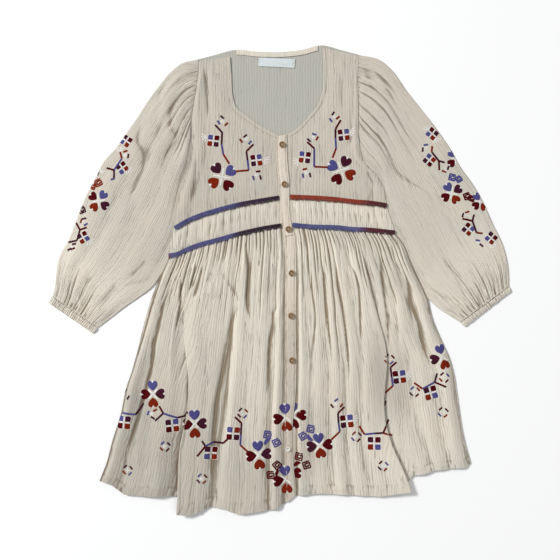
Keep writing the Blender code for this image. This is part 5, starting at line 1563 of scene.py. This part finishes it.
def satin_line(points, width, thread, ground="all", rise=0.45, step=2.2):
    """A raised closed cord of stitches along a line, with blunt ends."""
    points = np.asarray(points, float)
    legs = np.linalg.norm(np.diff(points, axis=0), axis=1)
    along = np.concatenate(([0], np.cumsum(legs)))
    places = np.unique(np.concatenate((np.linspace(0, along[-1], max(2, int(along[-1] / step) + 1)), along)))
    line = np.stack([np.interp(places, along, points[:, axis]) for axis in (0, 1)], axis=-1)
    normal = directions(line)[1]
    shares = (-0.5, -0.32, 0.0, 0.32, 0.5)
    flat = np.stack([line + normal * width * share for share in shares], axis=1)
    placed = on_cloth(flat.reshape(-1, 2), line.mean(axis=0), ground)
    if placed is None:
        return
    lifts = np.tile((0.08, rise * 0.8, rise, rise * 0.8, 0.08), len(line))
    top = placed + np.column_stack((np.zeros((len(placed), 2)), lifts))
    under = placed.reshape(-1, 5, 3)[:, (0, 4)].reshape(-1, 3) - (0, 0, 0.3)
    verts, faces, spread = stitched[thread]
    first = len(verts)
    verts.extend(np.concatenate((top, under)).tolist())
    grain = np.stack(np.broadcast_arrays(places[:, None], np.array(shares)[None] * width), axis=-1)
    spread.extend((np.concatenate((grain.reshape(-1, 2), grain[:, (0, 4)].reshape(-1, 2))) * MM).tolist())
    low = 5 * len(line)

    def face(*places):
        faces.append([first + place for place in places])

    for row in range(len(line) - 1):
        a, b = row * 5, row * 5 + 5
        for column in range(4):
            face(a + column, b + column, b + column + 1, a + column + 1)
        c, d = low + row * 2, low + row * 2 + 2
        face(c, c + 1, d + 1, d)
        face(c, d, b, a)
        face(a + 4, b + 4, d + 1, c + 1)
    end, foot = 5 * (len(line) - 1), low + 2 * (len(line) - 1)
    face(low, 0, 1, 2, 3, 4, low + 1)
    face(foot + 1, end + 4, end + 3, end + 2, end + 1, end, foot)


def turned(points, x, y, angle, size=1.0):
    """Points of a motif turned, scaled and put in place."""
    return rotated(np.asarray(points, float) * size, math.radians(angle)) + (x, y)


HEART = ((-9.4, 0), (-8.2, 2.6), (-4.6, 6.4), (-0.8, 9.0), (3.4, 9.9), (6.8, 8.6), (8.7, 5.6), (8.3, 2.6),
         (5.4, 0), (8.3, -2.6), (8.7, -5.6), (6.8, -8.6), (3.4, -9.9), (-0.8, -9.0), (-4.6, -6.4),
         (-8.2, -2.6))
NOTCH = ((2.4, 0.5), (5.6, 1.1), (9.6, 2.4), (9.2, 0), (9.6, -2.4), (5.6, -1.1), (2.4, -0.5))
PETAL = ((-5.1, 0), (-2.5, 2.6), (0.1, 5.2), (2.7, 3.3), (5.0, 1.0), (5.0, -1.0), (2.7, -3.3), (0.1, -5.2),
         (-2.5, -2.6))
for flower in FLOWERS:
    for place, thread in enumerate(flower.threads):
        angle = flower.turn + 90 * place
        if thread == "-":
            continue
        centre = (flower.x + flower.wide * math.cos(math.radians(angle)),
                  flower.y + flower.high * math.sin(math.radians(angle)))
        satin_patch(turned(HEART, *centre, angle, flower.size), thread, angle, flower.ground)
        satin_patch(turned(NOTCH, *centre, angle, flower.size), "w", angle, flower.ground, 0.4)
        ray = turned(((0.5, 0), (flower.wide * 0.9, 0)), flower.x, flower.y, angle + 45)
        satin_line(ray, 2.4, "w", flower.ground, 0.35)
for blossom in BLOSSOMS:
    for place, thread in enumerate(blossom.threads):
        angle = blossom.turn + 90 * place
        centre = turned(((6.8 * blossom.size, 0),), blossom.x, blossom.y, angle)[0]
        satin_patch(turned(PETAL, *centre, angle, blossom.size * 1.1), "w", angle, rise=0.16)
        satin_patch(turned(PETAL, *centre, angle, blossom.size), thread, angle, rise=0.4)
        ray = turned(((0.8, 0), (7.5 * blossom.size, 0)), blossom.x, blossom.y, angle + 45)
        satin_line(ray, 1.5, "w", rise=0.3)
for stem in STEMS:
    for thread, legs in groupby(range(len(stem.threads)), key=lambda leg: stem.threads[leg]):
        legs = list(legs)
        satin_line(stem.points[legs[0]:legs[-1] + 2], STITCH_WIDE, thread)
for dash in DASHES:
    satin_line(turned(((-3.8, 0), (3.8, 0)), dash.x, dash.y, dash.angle), STITCH_WIDE, dash.thread)
for sprig in SPRIGS:
    hub = turned(((7.5, 0),), sprig.x, sprig.y, sprig.angle)[0]
    for spray in (-45, -15, 15, 45):
        satin_line(turned(((-2.0, 0), (-10.0, 0)), *hub, sprig.angle + spray), RAY_WIDE, "w", rise=0.35)
for tuft in TUFTS:
    for spray in range(0, 360, 72):
        ray = turned(((0.4, 0), (4.0, 0)), tuft.x, tuft.y, tuft.turn + spray)
        satin_line(ray, RAY_WIDE, "w", rise=0.3)
for sparkle in SPARKLES:
    for place, thread in enumerate(sparkle.threads):
        angle = 40 + 90 * place
        satin_line(turned(((7.4, -4.4), (7.0, 3.0)), sparkle.x, sparkle.y, angle), 3.0, thread, rise=0.35)
        satin_line(turned(((1.0, 0), (4.0, 0)), sparkle.x, sparkle.y, angle + 45), 1.8, "w", rise=0.3)
MEANDER = ((5.6, 5.6), (-5.6, 5.6), (-5.6, -5.6), (5.6, -5.6), (5.6, 2.6), (-2.6, 2.6), (-2.6, -2.6),
           (2.6, -2.6), (2.6, 0))
for square in SQUARES:
    satin_line(turned(MEANDER, square.x, square.y, square.turn, square.size), 2.6,
               square.thread, rise=0.35, step=3)
MOON = [(7 * math.cos(a), 6 * math.sin(a)) for a in np.linspace(0, math.pi, 9)]
for moon in HALF_MOONS:
    satin_patch(turned(MOON, moon.x, moon.y, moon.turn, moon.size), moon.thread, moon.turn)

# MACHINE STITCHING
# Rows of short stitches in light cotton thread along the neck edge, both placket strips and the
# ends of the label, and a worked buttonhole under each button.

stitched["s"] = ([], [], [])
STITCH, STITCH_GAP, STITCH_THICK = 2.3, 1.1, 0.55
BUTTONHOLE = 13.0
LABEL_INSET = 2.2


def stitch_row(line, inset, ground="all"):
    """Short stitches beside a line, a little way in from it."""
    dense = curve(line, np.linspace(0, 1, 600))
    row = dense + directions(dense)[1] * inset
    along = np.concatenate(([0], np.cumsum(np.linalg.norm(np.diff(row, axis=0), axis=1))))
    for start in np.arange(1.0, along[-1] - STITCH, STITCH + STITCH_GAP):
        ends = [[np.interp(place, along, row[:, axis]) for axis in (0, 1)] for place in (start, start + STITCH)]
        satin_line(ends, STITCH_THICK, "s", ground, 0.16, 9.0)


for edge, inset in ((NECK_LEFT, -NECK_INSET), (NECK_RIGHT, NECK_INSET)):
    stitch_row(edge, inset)
for strip in (PLACKET_BODICE, PLACKET_SKIRT):
    stitch_row([(edge.left, edge.left_y) for edge in strip], PLACKET_INSET)
    stitch_row([(edge.right, edge.right_y) for edge in strip], -PLACKET_INSET)
for x, y in BUTTONS + (WHITE_BUTTON,):
    for side in (-0.9, 0.9):
        slit = ((x + side, y - BUTTONHOLE / 2), (x + side, y + BUTTONHOLE / 2))
        satin_line(slit, 1.2, "s", rise=0.3, step=3)
GROUNDS["label"] = ground_of([label])
for side in (0, 1):
    top, foot = LABEL_CORNERS[side], LABEL_CORNERS[side + 2]
    inward = -LABEL_INSET if side else LABEL_INSET
    stitch_row(((top[0] + inward, top[1] - 1), (foot[0] + inward, foot[1] + 1)), 0.0, "label")

names = {"v": "embroidery_violet", "p": "embroidery_plum", "d": "embroidery_dark_red", "r": "embroidery_rust",
         "w": "embroidery_white", "s": "machine_stitching"}
for thread, (points, faces, spread) in stitched.items():
    piece = new_piece(names[thread], np.array(points), faces)
    lay_map(piece.data, "stitch", np.array(spread))
    piece.select_set(True)
    bpy.context.view_layer.objects.active = piece
    bpy.ops.object.shade_smooth_by_angle(angle=math.radians(60))
    bpy.ops.object.select_all(action="DESELECT")
    finish = light_thread if thread == "s" else thread_finish("thread_" + names[thread][11:], THREADS[thread])
    dress_piece(piece, finish, [])

# FLOOR, LIGHT AND CAMERA
# A plain pale floor, soft studio light from the upper left, and a camera straight above.

bpy.ops.mesh.primitive_plane_add(size=12, location=(0, 0, 0))
floor = bpy.context.object
floor.name = "floor"
floor.data.materials.append(new_finish("pale_floor", Base_Color=(0.93, 0.93, 0.93, 1), Roughness=0.9,
                                       Specular_IOR_Level=0.1)[0])


def soft_lamp(name, place, aim, size, power):
    """A square studio lamp that faces a point."""
    lamp = bpy.data.lights.new(name, "AREA")
    lamp.shape, lamp.size, lamp.energy = "SQUARE", size, power
    holder = bpy.data.objects.new(name, lamp)
    bpy.context.scene.collection.objects.link(holder)
    holder.location = place
    holder.rotation_euler = (Vector(aim) - Vector(place)).to_track_quat("-Z", "Y").to_euler()


soft_lamp("key_lamp", (-4.7, 2.6, 4.2), (0, 0, 0), 1.4, 460)
soft_lamp("fill_lamp", (1.6, -0.9, 2.4), (0, 0, 0), 1.8, 14)

world = bpy.data.worlds.new("studio")
world.use_nodes = True
world.node_tree.nodes["Background"].inputs["Color"].default_value = (0.98, 0.99, 1.0, 1)
world.node_tree.nodes["Background"].inputs["Strength"].default_value = 0.36
bpy.context.scene.world = world
bpy.context.scene.view_settings.view_transform = "Standard"

eye = bpy.data.cameras.new("camera")
eye.lens, eye.sensor_width = 50, 36
camera = bpy.data.objects.new("camera", eye)
camera.location = (0, 0, 1.322)
bpy.context.scene.collection.objects.link(camera)
bpy.context.scene.camera = camera
